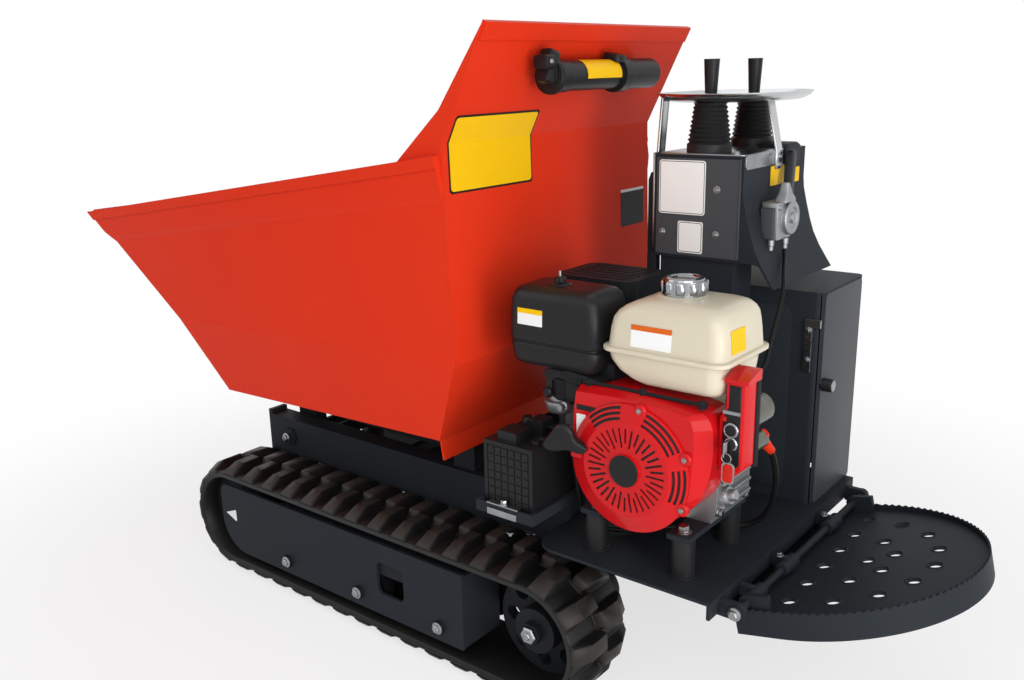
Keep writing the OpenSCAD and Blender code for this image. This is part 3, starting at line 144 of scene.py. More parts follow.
for name, node, stops, thick in (("starter_lead", "starter_cable", STARTER_ROUTE, STARTER_D),
                                 ("throttle_sleeve", "throttle_cable", THROTTLE_ROUTE, THROTTLE_D)):
    line = through([at(*stop) for stop in stops])
    curve = bpy.data.curves.new(name, "CURVE")
    curve.dimensions = "3D"
    curve.bevel_depth = thick / 2
    curve.bevel_resolution = 3
    curve.use_fill_caps = True
    spline = curve.splines.new("POLY")
    spline.points.add(len(line) - 1)
    for point, spot in zip(spline.points, line):
        point.co = (*spot, 1.0)
    curve.materials.append(sleeve_pvc)
    cable = bpy.data.objects.new(name, curve)
    bpy.context.scene.collection.objects.link(cable)
    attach(cable, "chassis")
    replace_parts(cable, node)


# The studio is a white sweep: a pale paper floor and an even white surround.
# Large soft boxes hang over the machine, on the camera's side and behind it.
# Straight, mirrored and refracted rays see plain white, and the floor keeps the shadow near the machine.
def straight_rays(tree):
    rays = add(tree, "LightPath", {}).outputs
    mirrored = add(tree, "Math", {0: rays["Is Camera Ray"], 1: rays["Is Glossy Ray"]}, operation="MAXIMUM")
    return add(tree, "Math", {0: mirrored.outputs[0], 1: rays["Is Transmission Ray"]},
               operation="MAXIMUM").outputs[0]


world = bpy.data.worlds.new("white_studio")
bpy.context.scene.world = world
world.use_nodes = True
sky = world.node_tree
sky.nodes.clear()
soft_white = add(sky, "Background", {"Color": linear("#F4F6F8"), "Strength": 0.40})
paper_white = add(sky, "Background", {"Color": linear("#FFFFFF"), "Strength": 1.0})
seen = add(sky, "MixShader", {0: straight_rays(sky), 1: soft_white.outputs[0], 2: paper_white.outputs[0]})
add(sky, "OutputWorld", {"Surface": seen.outputs[0]})

LIGHT_AIM = Vector((0.0, 0.0, 0.5))
for name, spot, size, power in (("key_box_light", (-1.1, 3.0, 2.7), 2.3, 19.0),
                                ("front_box_light", (2.4, 2.3, 2.6), 2.2, 17.0),
                                ("rear_box_light", (-2.8, 1.9, 1.4), 2.4, 46.0),
                                ("low_box_light", (-2.9, 0.8, 0.3), 1.2, 24.0),
                                ("top_box_light", (0.2, -0.4, 3.6), 2.6, 12.0)):
    lamp = bpy.data.lights.new(name, "AREA")
    lamp.shape = "SQUARE"
    lamp.size = size
    lamp.energy = power
    holder = bpy.data.objects.new(name, lamp)
    holder.location = spot
    holder.rotation_euler = (LIGHT_AIM - Vector(spot)).to_track_quat("-Z", "Y").to_euler()
    bpy.context.scene.collection.objects.link(holder)

FLOOR_HALF, SHADOW_NEAR, SHADOW_FAR, NEAR_GLOW = 40.0, 0.9, 2.2, 0.7
paper = bpy.data.materials.new("white_paper_sweep")
paper.use_nodes = True
tree = paper.node_tree
tree.nodes.clear()
place = add(tree, "TexCoord", {}).outputs["Object"]
pulp = add(tree, "TexNoise", {"Vector": place, "Scale": 3.0, "Detail": 2.0})
tone = add(tree, "Mix", {0: pulp.outputs["Fac"], 6: linear("#FBFBFA"), 7: linear("#FFFFFF")},
           data_type="RGBA")
sheet = add(tree, "BsdfDiffuse", {"Color": tone.outputs[2]})
far = add(tree, "VectorMath", {0: place}, operation="LENGTH")
fade = add(tree, "MapRange", {"Value": far.outputs["Value"], "From Min": SHADOW_NEAR, "From Max": SHADOW_FAR,
                              "To Min": NEAR_GLOW, "To Max": 1.0}, interpolation_type="SMOOTHSTEP")
share = add(tree, "Math", {0: fade.outputs[0], 1: straight_rays(tree)}, operation="MULTIPLY")
glow = add(tree, "Emission", {"Color": linear("#FFFFFF"), "Strength": 1.0})
blend = add(tree, "MixShader", {0: share.outputs[0], 1: sheet.outputs[0], 2: glow.outputs[0]})
add(tree, "OutputMaterial", {"Surface": blend.outputs[0]})
work = bmesh.new()
bmesh.ops.create_grid(work, x_segments=1, y_segments=1, size=FLOOR_HALF)
mesh = bpy.data.meshes.new("studio_floor")
work.to_mesh(mesh)
work.free()
floor = bpy.data.objects.new("studio_floor", mesh)
mesh.materials.append(paper)
bpy.context.scene.collection.objects.link(floor)


# Chassis rails, cross members, deck, bed, console shell and oil tank are folded and welded steel plate.
# They are powder coated in charcoal, which gives an even satin skin with a fine orange peel.
def dress(material, *names):
    for name in names:
        mesh = nodes[name].data
        mesh.materials.clear()
        mesh.materials.append(material)


charcoal = finish_of("charcoal_powder_coat", "#2B2F34", "#25292E", 0.5, 1.6, 0.1, gloss=0.06)
dress(charcoal, "chassis_rail_left", "chassis_rail_right", "chassis_crossmembers", "engine_deck",
      "engine_bed", "battery_tray", "console_tower", "oil_tank", "platform", "track_covers",
      "platform_hinge_rod")


# The platform's hinge is three sleeves of cut tube on one rod, each with a gusset, before an edge angle.
# The tube is bevelled at both mouths; all of it is welded to the deck and coated with the chassis.
LEFT, UP = (0, 1, 0), (0, 0, 1)


def lathe(work, profile, spot, axis, steps=28):
    along = Vector(axis).normalized()
    lay = Vector((0.0, 0.0, 1.0)).rotation_difference(along).to_matrix()
    line = [work.verts.new(lay @ Vector((r / 1000, 0.0, h / 1000)) + spot) for r, h in profile]
    edges = [work.edges.new(pair) for pair in zip(line, line[1:])]
    bmesh.ops.spin(work, geom=line + edges, cent=spot, axis=along, angle=math.tau, steps=steps,
                   use_merge=True)


def slab(work, outline, thick, lay, soft=0.0):
    base = work.faces.new([work.verts.new(lay @ Vector((u / 1000, v / 1000, 0.0))) for u, v in outline])
    grown = bmesh.ops.extrude_face_region(work, geom=[base])["geom"]
    tops = [g for g in grown if isinstance(g, bmesh.types.BMVert)]
    bmesh.ops.translate(work, verts=tops, vec=lay.to_3x3() @ Vector((0.0, 0.0, thick / 1000)))
    if soft:
        rim = [g for g in grown if isinstance(g, bmesh.types.BMEdge)]
        bmesh.ops.bevel(work, geom=rim, offset=soft / 1000, segments=2, profile=0.5, affect="EDGES",
                        material=-1)


def facing(spot, out, top=UP):
    w = Vector(out).normalized()
    u = Vector(top).cross(w).normalized()
    return Matrix.Translation(spot) @ Matrix((u, w.cross(u), w)).transposed().to_4x4()


def across(work, outline, y0, y1, soft=0.0):
    slab(work, [(-x, z) for x, z in outline], y1 - y0, facing(at(0, y0, 0), LEFT), soft)


def piece(name, work, material, body="chassis", crease=38):
    bmesh.ops.remove_doubles(work, verts=work.verts, dist=2e-6)
    bmesh.ops.recalc_face_normals(work, faces=work.faces)
    mesh = bpy.data.meshes.new(name)
    work.to_mesh(mesh)
    work.free()
    mesh.shade_smooth()
    mesh.set_sharp_from_angle(angle=math.radians(crease))
    mesh.materials.append(material)
    made = bpy.data.objects.new(name, mesh)
    bpy.context.scene.collection.objects.link(made)
    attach(made, body)
    return made


HINGE_X, HINGE_Z = -346, 312
SLEEVE_YS, SLEEVE_MIDDLE = (60, -154, 196), 24
SLEEVE = [(7.1, 0), (11.5, 0), (13, 1.5), (13, 52.5), (11.5, 54), (7.1, 54)]
GUSSET_HALF, ANGLE_HALF, STRIP_END = 5, 250, -302
GUSSET = [(-358, 303), (-314.2, 303), (-314.2, 326), (-342, 326), (-352, 322), (-358, 315)]
EDGE_ANGLE = [(-335, 266), (-285, 266), (-285, 326.8), (-288, 326.8), (-288, 269), (-335, 269)]
EDGE_STRIP = [(-288, 266), (-285, 266), (-285, 326.8), (-288, 326.8)]
work = bmesh.new()
for y in SLEEVE_YS:
    lathe(work, SLEEVE, at(HINGE_X, y, HINGE_Z), LEFT)
for y in SLEEVE_YS:
    middle = y + SLEEVE_MIDDLE
    across(work, GUSSET, middle - GUSSET_HALF, middle + GUSSET_HALF, 1.5)
across(work, EDGE_ANGLE, -ANGLE_HALF, ANGLE_HALF)
across(work, EDGE_STRIP, STRIP_END, -ANGLE_HALF)
piece("hinge_sleeves", work, charcoal)

# A flat foot runs under each chassis rail, between the tracks, as painted shade: it closes the gap where the
# floor would show between rail and track.
# It is sawn from steel strip, welded along the rail and coated with it.
RAIL_Y, SHADE_FOOT_HALF = 171, 20
RAIL_SHADE_FOOT = [(240, 263), (1010, 263), (1010, 266), (240, 266)]
work = bmesh.new()
for side in (1, -1):
    across(work, RAIL_SHADE_FOOT, side * RAIL_Y - SHADE_FOOT_HALF, side * RAIL_Y + SHADE_FOOT_HALF, 0.8)
piece("rail_shade_feet", work, charcoal)


# Bolts close the hinge's rod and the pivots of the skip, and two more hold the hinge to the deck.
# They are cold headed steel hexagons on washers; zinc plate gives them a pale, mottled shine.
WASHER_T, WASHER_EDGE, HEAD_CHAMFER = 2.0, 1.4, 1.2
WASHER_SHARES, CROWN_SHARE = (1.4, 1.3), 0.84


def bolt(work, spot, out, head, tall):
    foot, top = (head * share for share in WASHER_SHARES)
    lathe(work, [(0, 0), (foot, 0), (foot, WASHER_EDGE), (top, WASHER_T), (0, WASHER_T)], spot, out)
    lathe(work, [(0, WASHER_T), (head, WASHER_T), (head, tall - HEAD_CHAMFER), (head * CROWN_SHARE, tall),
                 (0, tall)], spot, out, 6)


zinc = finish_of("zinc_plate", "#A4A6A8", "#7C7E80", 0.28, 0.8, 0.1, metal=1.0, cloud_mm=30)
dress(zinc, "platform_catch")
ROD_END_Y, DECK_BOLT_X, DECK_BOLT_Y, DECK_TOP = 304, -330, 29, 326
PIVOT_X, PIVOT_Y, PIVOT_Z = 942, 205, 314
work = bmesh.new()
for side in (1, -1):
    bolt(work, at(HINGE_X, side * ROD_END_Y, HINGE_Z), (0, side, 0), 8.5, 9)
for y in SLEEVE_YS[:2]:
    bolt(work, at(DECK_BOLT_X, y + DECK_BOLT_Y, DECK_TOP), UP, 5.5, 7)
for side in (1, -1):
    bolt(work, at(PIVOT_X, side * PIVOT_Y, PIVOT_Z), (0, side, 0), 9, 8)
piece("hinge_bolts", work, zinc)

# Track frames, rollers, idlers, sprockets and drive motors sit inside the loops of the tracks.
# They are cast and welded steel in a satin black paint that is thinner than the powder coat.
# The ram's barrel, the skip's bearers and the dark castings on the engine have the same paint.
black_satin = finish_of("satin_black_paint", "#232528", "#1B1D20", 0.5, 2.2, 0.1)
dress(black_satin, "track_frames", "track_rollers", "track_idlers", "drive_sprockets", "drive_motors",
      "skip_bearers", "ram_barrel", "muffler", "hydraulic_pump", "pivot_pins", "carburettor")

# Each track is one moulded rubber loop: a flat belt with two rows of staggered lugs.
# A lug runs from the middle of the belt to its edge, where it slopes down.
# The rubber is a matt black; the tops of the lugs are a paler brown, partly dust and partly painted light
# where the tops catch the lamps against the shaded gaps.
track_rubber = finish_of("moulded_track_rubber", "#161514", "#0E0D0D", 0.45, 3.0, 0.2, edge_mm=2.5,
                         cloud_mm=55, gloss=0.25)
dust_and_lit_lug_rubber = finish_of("dust_and_painted_light_lug_rubber", "#38312C", "#151413", 0.5, 4.0, 0.3, edge_mm=2.5,
                         cloud_mm=28, gloss=0.25)
SPROCKET_X, IDLER_X, TRACK_R, LUG_H, BELT_T = 58, 980, 143.5, 22, 16
TRACK_Y, TRACK_HALF, LUGS, STEPS_PER_LUG = 285, 90, 36, 4
BELT_R = TRACK_R - LUG_H
RUN, ARC = IDLER_X - SPROCKET_X, math.pi * BELT_R
LUG_PITCH = 2 * (RUN + ARC) / LUGS


def on_loop(s, y, h):
    s %= 2 * (RUN + ARC)
    if s < RUN:
        return at(SPROCKET_X + s, y, LUG_H - h)
    if RUN + ARC <= s < 2 * RUN + ARC:
        return at(IDLER_X - (s - RUN - ARC), y, TRACK_R + BELT_R + h)
    x, a = (IDLER_X, (s - RUN) / BELT_R - math.pi / 2) if s < RUN + ARC else (
        SPROCKET_X, (s - 2 * RUN - ARC) / BELT_R + math.pi / 2)
    return at(x + (BELT_R + h) * math.cos(a), y, TRACK_R + (BELT_R + h) * math.sin(a))


def loft(work, rings, closed=True, caps=True):
    rows = [[work.verts.new(v) for v in ring] for ring in rings]
    for a, b in zip(rows, rows[1:]):
        for k in range(0 if closed else 1, len(a)):
            work.faces.new((a[k - 1], a[k], b[k], b[k - 1]))
    if caps:
        work.faces.new(rows[0][::-1])
        work.faces.new(rows[-1])
    return rows


# Across the belt a lug is given as its place, its share of the full height and its share of the pitch.
BELT = [(1 - TRACK_HALF, -13), (-TRACK_HALF, -3), (4 - TRACK_HALF, 0), (TRACK_HALF - 4, 0), (TRACK_HALF, -3),
        (TRACK_HALF - 1, -13), (TRACK_HALF - 5, -BELT_T), (5 - TRACK_HALF, -BELT_T)]
LUG_SHARES = [(-6, 0.0, 0.46), (0, 0.86, 0.5), (3, 1.0, 0.5), (52, 1.0, 0.52), (56, 0.96, 0.54),
              (86, 0.34, 0.56), (89.5, 0.1, 0.58), (TRACK_HALF, -0.1, 0.58)]
OUTER_PHASE, INNER_PHASE = 0.25, 0.75
for side, name in ((1, "left"), (-1, "right")):
    work = bmesh.new()
    loft(work, [[on_loop(LUG_PITCH * k / STEPS_PER_LUG, side * (TRACK_Y + y), h) for y, h in BELT]
                for k in range(STEPS_PER_LUG * LUGS + 1)], caps=False)
    for k in range(LUGS):
        for out, phase in ((1, OUTER_PHASE), (-1, INNER_PHASE)):
            rings = []
            for y, tall, share in LUG_SHARES:
                half, top = LUG_PITCH * share / 2, max(0.0, LUG_H * tall)
                flank = [(half + 5, -0.5), (half + 1, top * 0.12), (half - 2.5, top * 0.82), (half - 5, top)]
                rings.append([on_loop((k + phase) * LUG_PITCH + d, side * (TRACK_Y + out * y), h)
                              for d, h in [(-d, h) for d, h in flank] + flank[::-1]])
            rows = loft(work, rings, closed=False)
            # The crown faces of each lug take the paler rubber: dust with a painted highlight on the tops.
            for face in {f for row in rows[1:-1] for f in row[4].link_faces if row[3] in f.verts}:
                face.material_index = 1
    made = piece("moulded_track_" + name, work, track_rubber, crease=50)
    made.data.materials.append(dust_and_lit_lug_rubber)
    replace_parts(made, "track_" + name)

# Plated bolts hold the rollers, and a stepped nut with the end of its shaft holds each sprocket's hub.
# They are turned from hexagon bar, chamfered, and zinc plated.
ROLLER_XS, ROLLER_Z, ROLLER_END = (279, 522, 765), 90, 8.5
COVER_Y, HUB_Y = 365, 344
HUB_NUT = [(18.5, 0), (18.5, 8), (15.5, 10.4), (8, 10.4), (8, 12.5), (6.5, 14), (0, 14)]
work = bmesh.new()
for side in (1, -1):
    for x in ROLLER_XS:
        bolt(work, at(x, side * (COVER_Y + ROLLER_END), ROLLER_Z), (0, side, 0), 9.5, 7.5)
    lathe(work, HUB_NUT, at(SPROCKET_X, side * HUB_Y, TRACK_R), (0, side, 0), 6)
piece("track_nuts", work, zinc)

# A white triangle on each track cover points the way the machine drives.
# It is a thin vinyl film with cut corners, which gives a flat, even white.
film_white = finish_of("white_film", "#F6F7F6", "#F0F1F0", 0.34, 1.2, 0.04, edge_mm=0.3)
FILM_T = 0.6
TRIANGLE_X, TRIANGLE_Z = 978, 152
TRIANGLE = [(22, 0), (-16, 15), (-18, 13), (-18, -13), (-16, -15)]
work = bmesh.new()
for side in (1, -1):
    lay = facing(at(TRIANGLE_X, side * COVER_Y, TRIANGLE_Z), (0, side, 0))
    slab(work, [(-side * u, v) for u, v in TRIANGLE][::-side], FILM_T, lay)
piece("direction_triangles", work, film_white)

# The platform is a pressed tread plate: each hole has a raised lip to grip a boot.
# The lips are drawn up from the plate itself and coated with it.
STEP_TILT = math.radians(13)
STEP_HALF, STEP_STRAIGHT, STEP_FRONT, PLATE_H, RIM_H = 266, 75, -22, -18, -10
STEP_HOLES = [(48, 39.5), (48, 118.5), (48, 197.5), (115, 0), (115, 92), (120, 182), (153, 37), (182, 138),
              (234, 0), (220, 73)]
HOLE_LIP = [(12.4, -1), (12.4, 0.7), (13, 1.3), (14, 1.3), (16, 0)]


def on_step(back, y, h):
    return at(HINGE_X - back * math.cos(STEP_TILT) + h * math.sin(STEP_TILT), y,
              HINGE_Z + back * math.sin(STEP_TILT) + h * math.cos(STEP_TILT))


step_up = (on_step(0, 0, 1) - on_step(0, 0, 0)).normalized()
work = bmesh.new()
for back, y in STEP_HOLES:
    for side in (1, -1) if y else (1,):
        lathe(work, HOLE_LIP, on_step(back, side * y, PLATE_H), step_up, 20)
piece("tread_lips", work, charcoal, "platform")

# The platform's rim is a strip rolled round its half circle, with saw teeth cut along the top.
# It is welded to the plate's edge and coated with it.
TOOTH, TOOTH_TOP, TOOTH_FOOT, RIM_T = 7.0, 3.6, 0.4, 4.0
straight_teeth = int(STEP_STRAIGHT / TOOTH)
arc_teeth = int(math.pi * STEP_HALF / TOOTH / 2) * 2
arc_centre = STEP_FRONT + STEP_STRAIGHT
rim_line = [(STEP_FRONT + k * TOOTH, STEP_HALF) for k in range(straight_teeth)]
for k in range(arc_teeth + 1):
    a = math.pi / 2 - math.pi * k / arc_teeth
    rim_line.append((arc_centre + STEP_HALF * math.cos(a), STEP_HALF * math.sin(a)))
rim_line += [(back, -y) for back, y in reversed(rim_line[:straight_teeth])]
rings = []
for k, (back, y) in enumerate(rim_line):
    tall = RIM_H + (TOOTH_TOP if k % 2 else TOOTH_FOOT)
    out = Vector((0.0, math.copysign(1.0, y)))
    if back > arc_centre:
        out = Vector((back - arc_centre, y)).normalized()
    rings.append([on_step(back - out.x * inset, y - out.y * inset, h)
                  for inset, h in ((0.0, RIM_H - 1), (0.0, tall), (RIM_T, tall), (RIM_T, RIM_H - 1))])
work = bmesh.new()
loft(work, rings, closed=False)
piece("step_teeth", work, charcoal, "platform")

# Four rubber mounts carry the engine's bed, and rubber boots seal the control levers.
# Both are moulded; soft rubber gives a broad, dull shine.
soft_rubber = finish_of("moulded_rubber", "#202022", "#19191A", 0.45, 1.0, 0.08, gloss=0.25)
dress(soft_rubber, "engine_mounts", "lever_boots")

# The crankcase with its finned cylinder is die cast, and its feet stand on the bed over the mounts.
# Bare cast alloy gives a grey, slightly rough metal skin.
cast_alloy = finish_of("die_cast_alloy", "#A6A8AA", "#8B8D8F", 0.45, 1.4, 0.3, metal=0.85, cloud_mm=40)
dress(cast_alloy, "engine_block")

# The fan shroud and the recoil cover are pressed from sheet and painted a bright red.
# The paint is a hard gloss, deeper than the skip's orange red.
shroud_red = finish_of("gloss_red_shroud", "#D4161B", "#C51217", 0.22, 6.0, 0.02, edge_mm=2.0, coat=0.25)
dress(shroud_red, "fan_shroud", "recoil_cover")

# A round badge plate, left blank, clips into the recoil cover's hub, with a raised ring round its rim.
# A dished black screen lies close behind the cover's slots as painted shade, so that they look dark.
# Both are moulded in a satin black plastic, and so are the battery, the levers and the document tube.
black_plastic = finish_of("moulded_black_plastic", "#1E1E20", "#18181A", 0.36, 0.9, 0.1, edge_mm=1.5,
                          gloss=0.2)
dress(black_plastic, "battery", "control_levers", "document_tube")
CRANK_X, CRANK_Z, SHROUD_FACE_Y, HUB_FACE_Y = -138, 527, 304, 324
BADGE = [(29, 0), (29, 1.6), (28, 2.4), (26.4, 2.4), (25.6, 1.6), (0, 1.9)]
SLOT_SHADE_SCREEN = [(30, 13.3), (30, 13.8), (86, 13.8), (114.5, 3.2), (114.2, 2.8), (86, 13.3), (30, 13.3)]
work = bmesh.new()
lathe(work, BADGE, at(CRANK_X, HUB_FACE_Y, CRANK_Z), LEFT, 40)
# The screen behind the slots is painted shade.
lathe(work, SLOT_SHADE_SCREEN, at(CRANK_X, SHROUD_FACE_Y, CRANK_Z), LEFT, 48)
piece("recoil_badge", work, black_plastic)

# The recoil cover sits on three red lugs on the shroud's face, pressed out of its sheet.
# Small plated bolts with flanges hold it there.
LUG_TALL = 8
RECOIL_LUG = [(12, 0), (12, 5.5), (9.5, LUG_TALL), (0, LUG_TALL)]
work, lugs = bmesh.new(), bmesh.new()
for degrees, reach in ((21, 118), (79, 113), (-25, 118)):
    a = math.radians(degrees)
    spot = at(CRANK_X - reach * math.cos(a), SHROUD_FACE_Y, CRANK_Z + reach * math.sin(a))
    lathe(lugs, RECOIL_LUG, spot, LEFT)
    bolt(work, spot + Vector((0, LUG_TALL / 1000, 0)), LEFT, 3.4, 3.6)
piece("recoil_lugs", lugs, shroud_red)
piece("recoil_bolts", work, zinc)

# The starter's pull grip is a moulded T: a fat bar for the fingers that narrows to a neck.
# The neck seats at the cover's rim, and the bar lies aslant as it hangs on its cord.
GRIP_NECK, GRIP_BAR = Vector((-48, 322, 549)), Vector((-10, 339, 566))
GRIP_ALONG = Vector((-0.62, 0.0, 0.78)).normalized()
GRIP_RINGS = [(-0.2, 8, 8), (0.0, 11, 10), (0.3, 13, 11), (0.55, 20, 11.5), (0.75, 32, 12), (1.0, 36, 12),
              (1.2, 35, 11), (1.34, 30, 8), (1.38, 22, 4)]
GRIP_STEPS, GRIP_SQUARE = 24, 0.7


def squared(value):
    return math.copysign(abs(value) ** GRIP_SQUARE, value)


stem = GRIP_BAR - GRIP_NECK
thick_way = stem.normalized().cross(GRIP_ALONG).normalized()
rings = []
for t, half, fat in GRIP_RINGS:
    centre = GRIP_NECK + stem * t
    ring = [centre + GRIP_ALONG * half * squared(math.cos(a)) + thick_way * fat * squared(math.sin(a))
            for a in (math.tau * k / GRIP_STEPS for k in range(GRIP_STEPS))]
    rings.append([at(*v) for v in ring])
work = bmesh.new()
loft(work, rings)
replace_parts(piece("pull_grip", work, black_plastic), "recoil_grip")


# Two small blank plates are riveted to the shroud's face, one black and one white.
# They are stamped from thin sheet with rounded corners.
# Here and below a plate's sizes are its width, its height, the radius of its corners and its thickness.
def round_rect(wide, tall, r, steps=5):
    line = []
    for k, (cx, cy) in enumerate(((1, 1), (-1, 1), (-1, -1), (1, -1))):
        for j in range(steps + 1):
            a = math.pi / 2 * (k + j / steps)
            line.append((cx * (wide / 2 - r) + r * math.cos(a), cy * (tall / 2 - r) + r * math.sin(a)))
    return line


def plate(work, wide, tall, r, thick, spot, out, top=UP, soft=0.0):
    slab(work, round_rect(wide, tall, r), thick, facing(at(*spot), out, top), soft)


TIN_T = 0.8
BLACK_TIN, BLACK_TIN_AT = (40, 10, 2, TIN_T), (-46, SHROUD_FACE_Y, 619)
WHITE_TIN, WHITE_TIN_AT = (20, 50, 1.5, TIN_T), (-36, SHROUD_FACE_Y, 581)
work = bmesh.new()
plate(work, *BLACK_TIN, BLACK_TIN_AT, LEFT)
piece("shroud_plate_black", work, black_plastic)
work = bmesh.new()
plate(work, *WHITE_TIN, WHITE_TIN_AT, LEFT)
piece("shroud_plate_white", work, film_white)

# A governor rail lies along the shroud's top front edge, with three pivots on it and an arm to a bracket.
# It is drawn steel with pressed ends, in the satin black paint.
RAIL_X, RAIL_FRONT_Y, RAIL_Z, RAIL_L = -272, 284, 662, 244
GOVERNOR_RAIL = [(0, 0), (5, 0), (5, 16), (3.4, 20), (3.4, 226), (5, 230), (5, RAIL_L), (0, RAIL_L)]
RAIL_PIVOT = [(6, -7), (6, 5), (4, 7), (0, 7)]
RAIL_BRACKET = [(-70, 640), (10, 640), (10, 694), (-30, 700), (-70, 690)]
RAIL_ARM = [(-66, 664), (-30, 672), (14, 676), (14, 668), (-30, 662)]
work = bmesh.new()
lathe(work, GOVERNOR_RAIL, at(RAIL_X, RAIL_FRONT_Y, RAIL_Z), (1, 0, 0), 16)
for x in (-264, -150, -40):
    lathe(work, RAIL_PIVOT, at(x, RAIL_FRONT_Y - 1, RAIL_Z), UP, 16)
across(work, RAIL_BRACKET, 176, 250, 8)
across(work, RAIL_ARM, 250, 286, 2)
piece("governor_rail", work, black_satin)

# The crankcase and the bed are held down on the mounts by plated bolts with wide washers.
# The inner pair stands higher, on the feet that are cast with the case.
MOUNT_XS, BED_TOP, FOOT_T = (-229, -48), 417, 10
work = bmesh.new()
for x in MOUNT_XS:
    for y, top in ((92, BED_TOP + FOOT_T), (270, BED_TOP)):
        bolt(work, at(x, y, top), UP, 10, 13)
piece("mount_bolts", work, zinc)

# The rear of the crankcase, below the key box, is bare alloy with ribs, a dipstick boss and cover bolts.
# The ribs and the boss are cast with the case; the bolts are plated.
REAR = (-1, 0, 0)
CASE_REAR_X, CASE_MID_Y = -262, 150
CASE_RIB, CASE_RIB_ZS = (110, 7, 3, 9), (448, 470, 492)
CASE_BOLTS = ((104, 440), (196, 500), (100, 506), (206, 440))
DIPSTICK_BOSS = [(19, 0), (19, 14), (16, 18), (11, 18), (11, 26), (9, 29), (0, 29)]
DIPSTICK_AT, DIPSTICK_LEAN = (CASE_REAR_X + 4, 186, 462), (-1, 0, 0.35)
work = bmesh.new()
for z in CASE_RIB_ZS:
    plate(work, *CASE_RIB, (CASE_REAR_X, CASE_MID_Y, z), REAR, soft=1.5)
lathe(work, DIPSTICK_BOSS, at(*DIPSTICK_AT), DIPSTICK_LEAN)
piece("case_ribs", work, cast_alloy)
work = bmesh.new()
for y, z in CASE_BOLTS:
    bolt(work, at(CASE_REAR_X, y, z), REAR, 6.5, 9)
piece("case_bolts", work, zinc)


# The fuel tank is drawn from sheet steel in two shells, seamed round a flange, with a raised filler neck.
# It stands on a bracket on the crankcase. Gloss ivory paint gives it a clear, even shine.
def ring_at(z, x0, x1, y0, y1, r):
    mid = at((x0 + x1) / 2, (y0 + y1) / 2, z)
    return [mid + Vector((u / 1000, v / 1000, 0.0)) for u, v in round_rect(x1 - x0, y1 - y0, r, 7)]


# Each ring of the tank has a height, then how far it stands in at the rear, ahead and at the sides.
ivory = finish_of("gloss_ivory_paint", "#D9D0BA", "#D2C8B1", 0.2, 5.0, 0.02, edge_mm=1.0, coat=0.25)
TANK_X, TANK_Y = (-308, -67), (110, 300)
TANK = [(672, 30, 70, 34, 22), (674, 24, 62, 27, 24), (682, 19, 45, 20, 25), (695, 16, 25, 15, 25),
        (712, 15, 12, 11, 25), (724, 14, 9, 9, 25), (729.5, 8, 8, 8, 25), (730, 1, 1, 1, 28),
        (731, 0, 0, 0, 28), (737, 0, 0, 0, 28), (738, 1, 1, 1, 28), (738.5, 7, 7, 7, 25), (742, 8, 8, 8, 25),
        (770, 10, 11, 10, 25), (788, 12, 15, 12, 25), (800, 14, 24, 14, 25), (809, 18, 36, 18, 26),
        (816, 24, 50, 24, 28), (821, 34, 66, 34, 30), (824, 50, 84, 48, 30), (825, 66, 100, 62, 24)]
CAP_X, CAP_Y, NECK_Z = -182, 205, 825.5
FILLER_NECK = [(52, -9), (49, -3), (42, 0.5), (36, 1), (0, 1)]
TANK_BRACKET = [(-240, 600.2), (-120, 600.2), (-120, 676), (-240, 676)]
work = bmesh.new()
loft(work, [ring_at(z, TANK_X[0] + rear, TANK_X[1] - ahead, TANK_Y[0] + side, TANK_Y[1] - side, r)
            for z, rear, ahead, side, r in TANK])
lathe(work, FILLER_NECK, at(CAP_X, CAP_Y, NECK_Z), UP, 40)
across(work, TANK_BRACKET, 150, 208, 1)
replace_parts(piece("drawn_tank", work, ivory, crease=48), "fuel_tank")

# The starter motor is a rolled steel can on the crankcase, held by its through bolts.
# Its plating is a dark, mirror like grey with soft clouds in it.
starter_metal = finish_of("plated_starter_case", "#77786F", "#55564F", 0.24, 2.0, 0.1, metal=1.0,
                          cloud_mm=30)
dress(starter_metal, "starter_motor")

# The filler cap is pressed sheet with finger flutes round its side and a stepped crown.
# Its chrome gives a sharp mirror, as on the rod of the tipping ram.
chrome = finish_of("bright_chrome", "#9FA2A5", "#85888B", 0.1, 6.0, 0.02, metal=1.0)
dress(chrome, "fuel_cap", "ram_rod")
CAP_TOP, CAP_R, FLUTES = 852, 38, 10
FLUTE_AT = CAP_R - 6
CAP_CROWN = [(CAP_R - 3, 0), (CAP_R - 4, 3), (CAP_R - 12, 4), (CAP_R - 14, 2), (0, 3)]
CAP_FLUTE = [(0, -22), (8.6, -22), (9.4, -20), (9.4, -4), (7.6, -1), (0, -1)]
work = bmesh.new()
lathe(work, CAP_CROWN, at(CAP_X, CAP_Y, CAP_TOP), UP, 48)
for k in range(FLUTES):
    a = math.tau * k / FLUTES
    lathe(work, CAP_FLUTE, at(CAP_X + FLUTE_AT * math.cos(a), CAP_Y + FLUTE_AT * math.sin(a), CAP_TOP),
          UP, 16)
piece("cap_flutes", work, chrome)

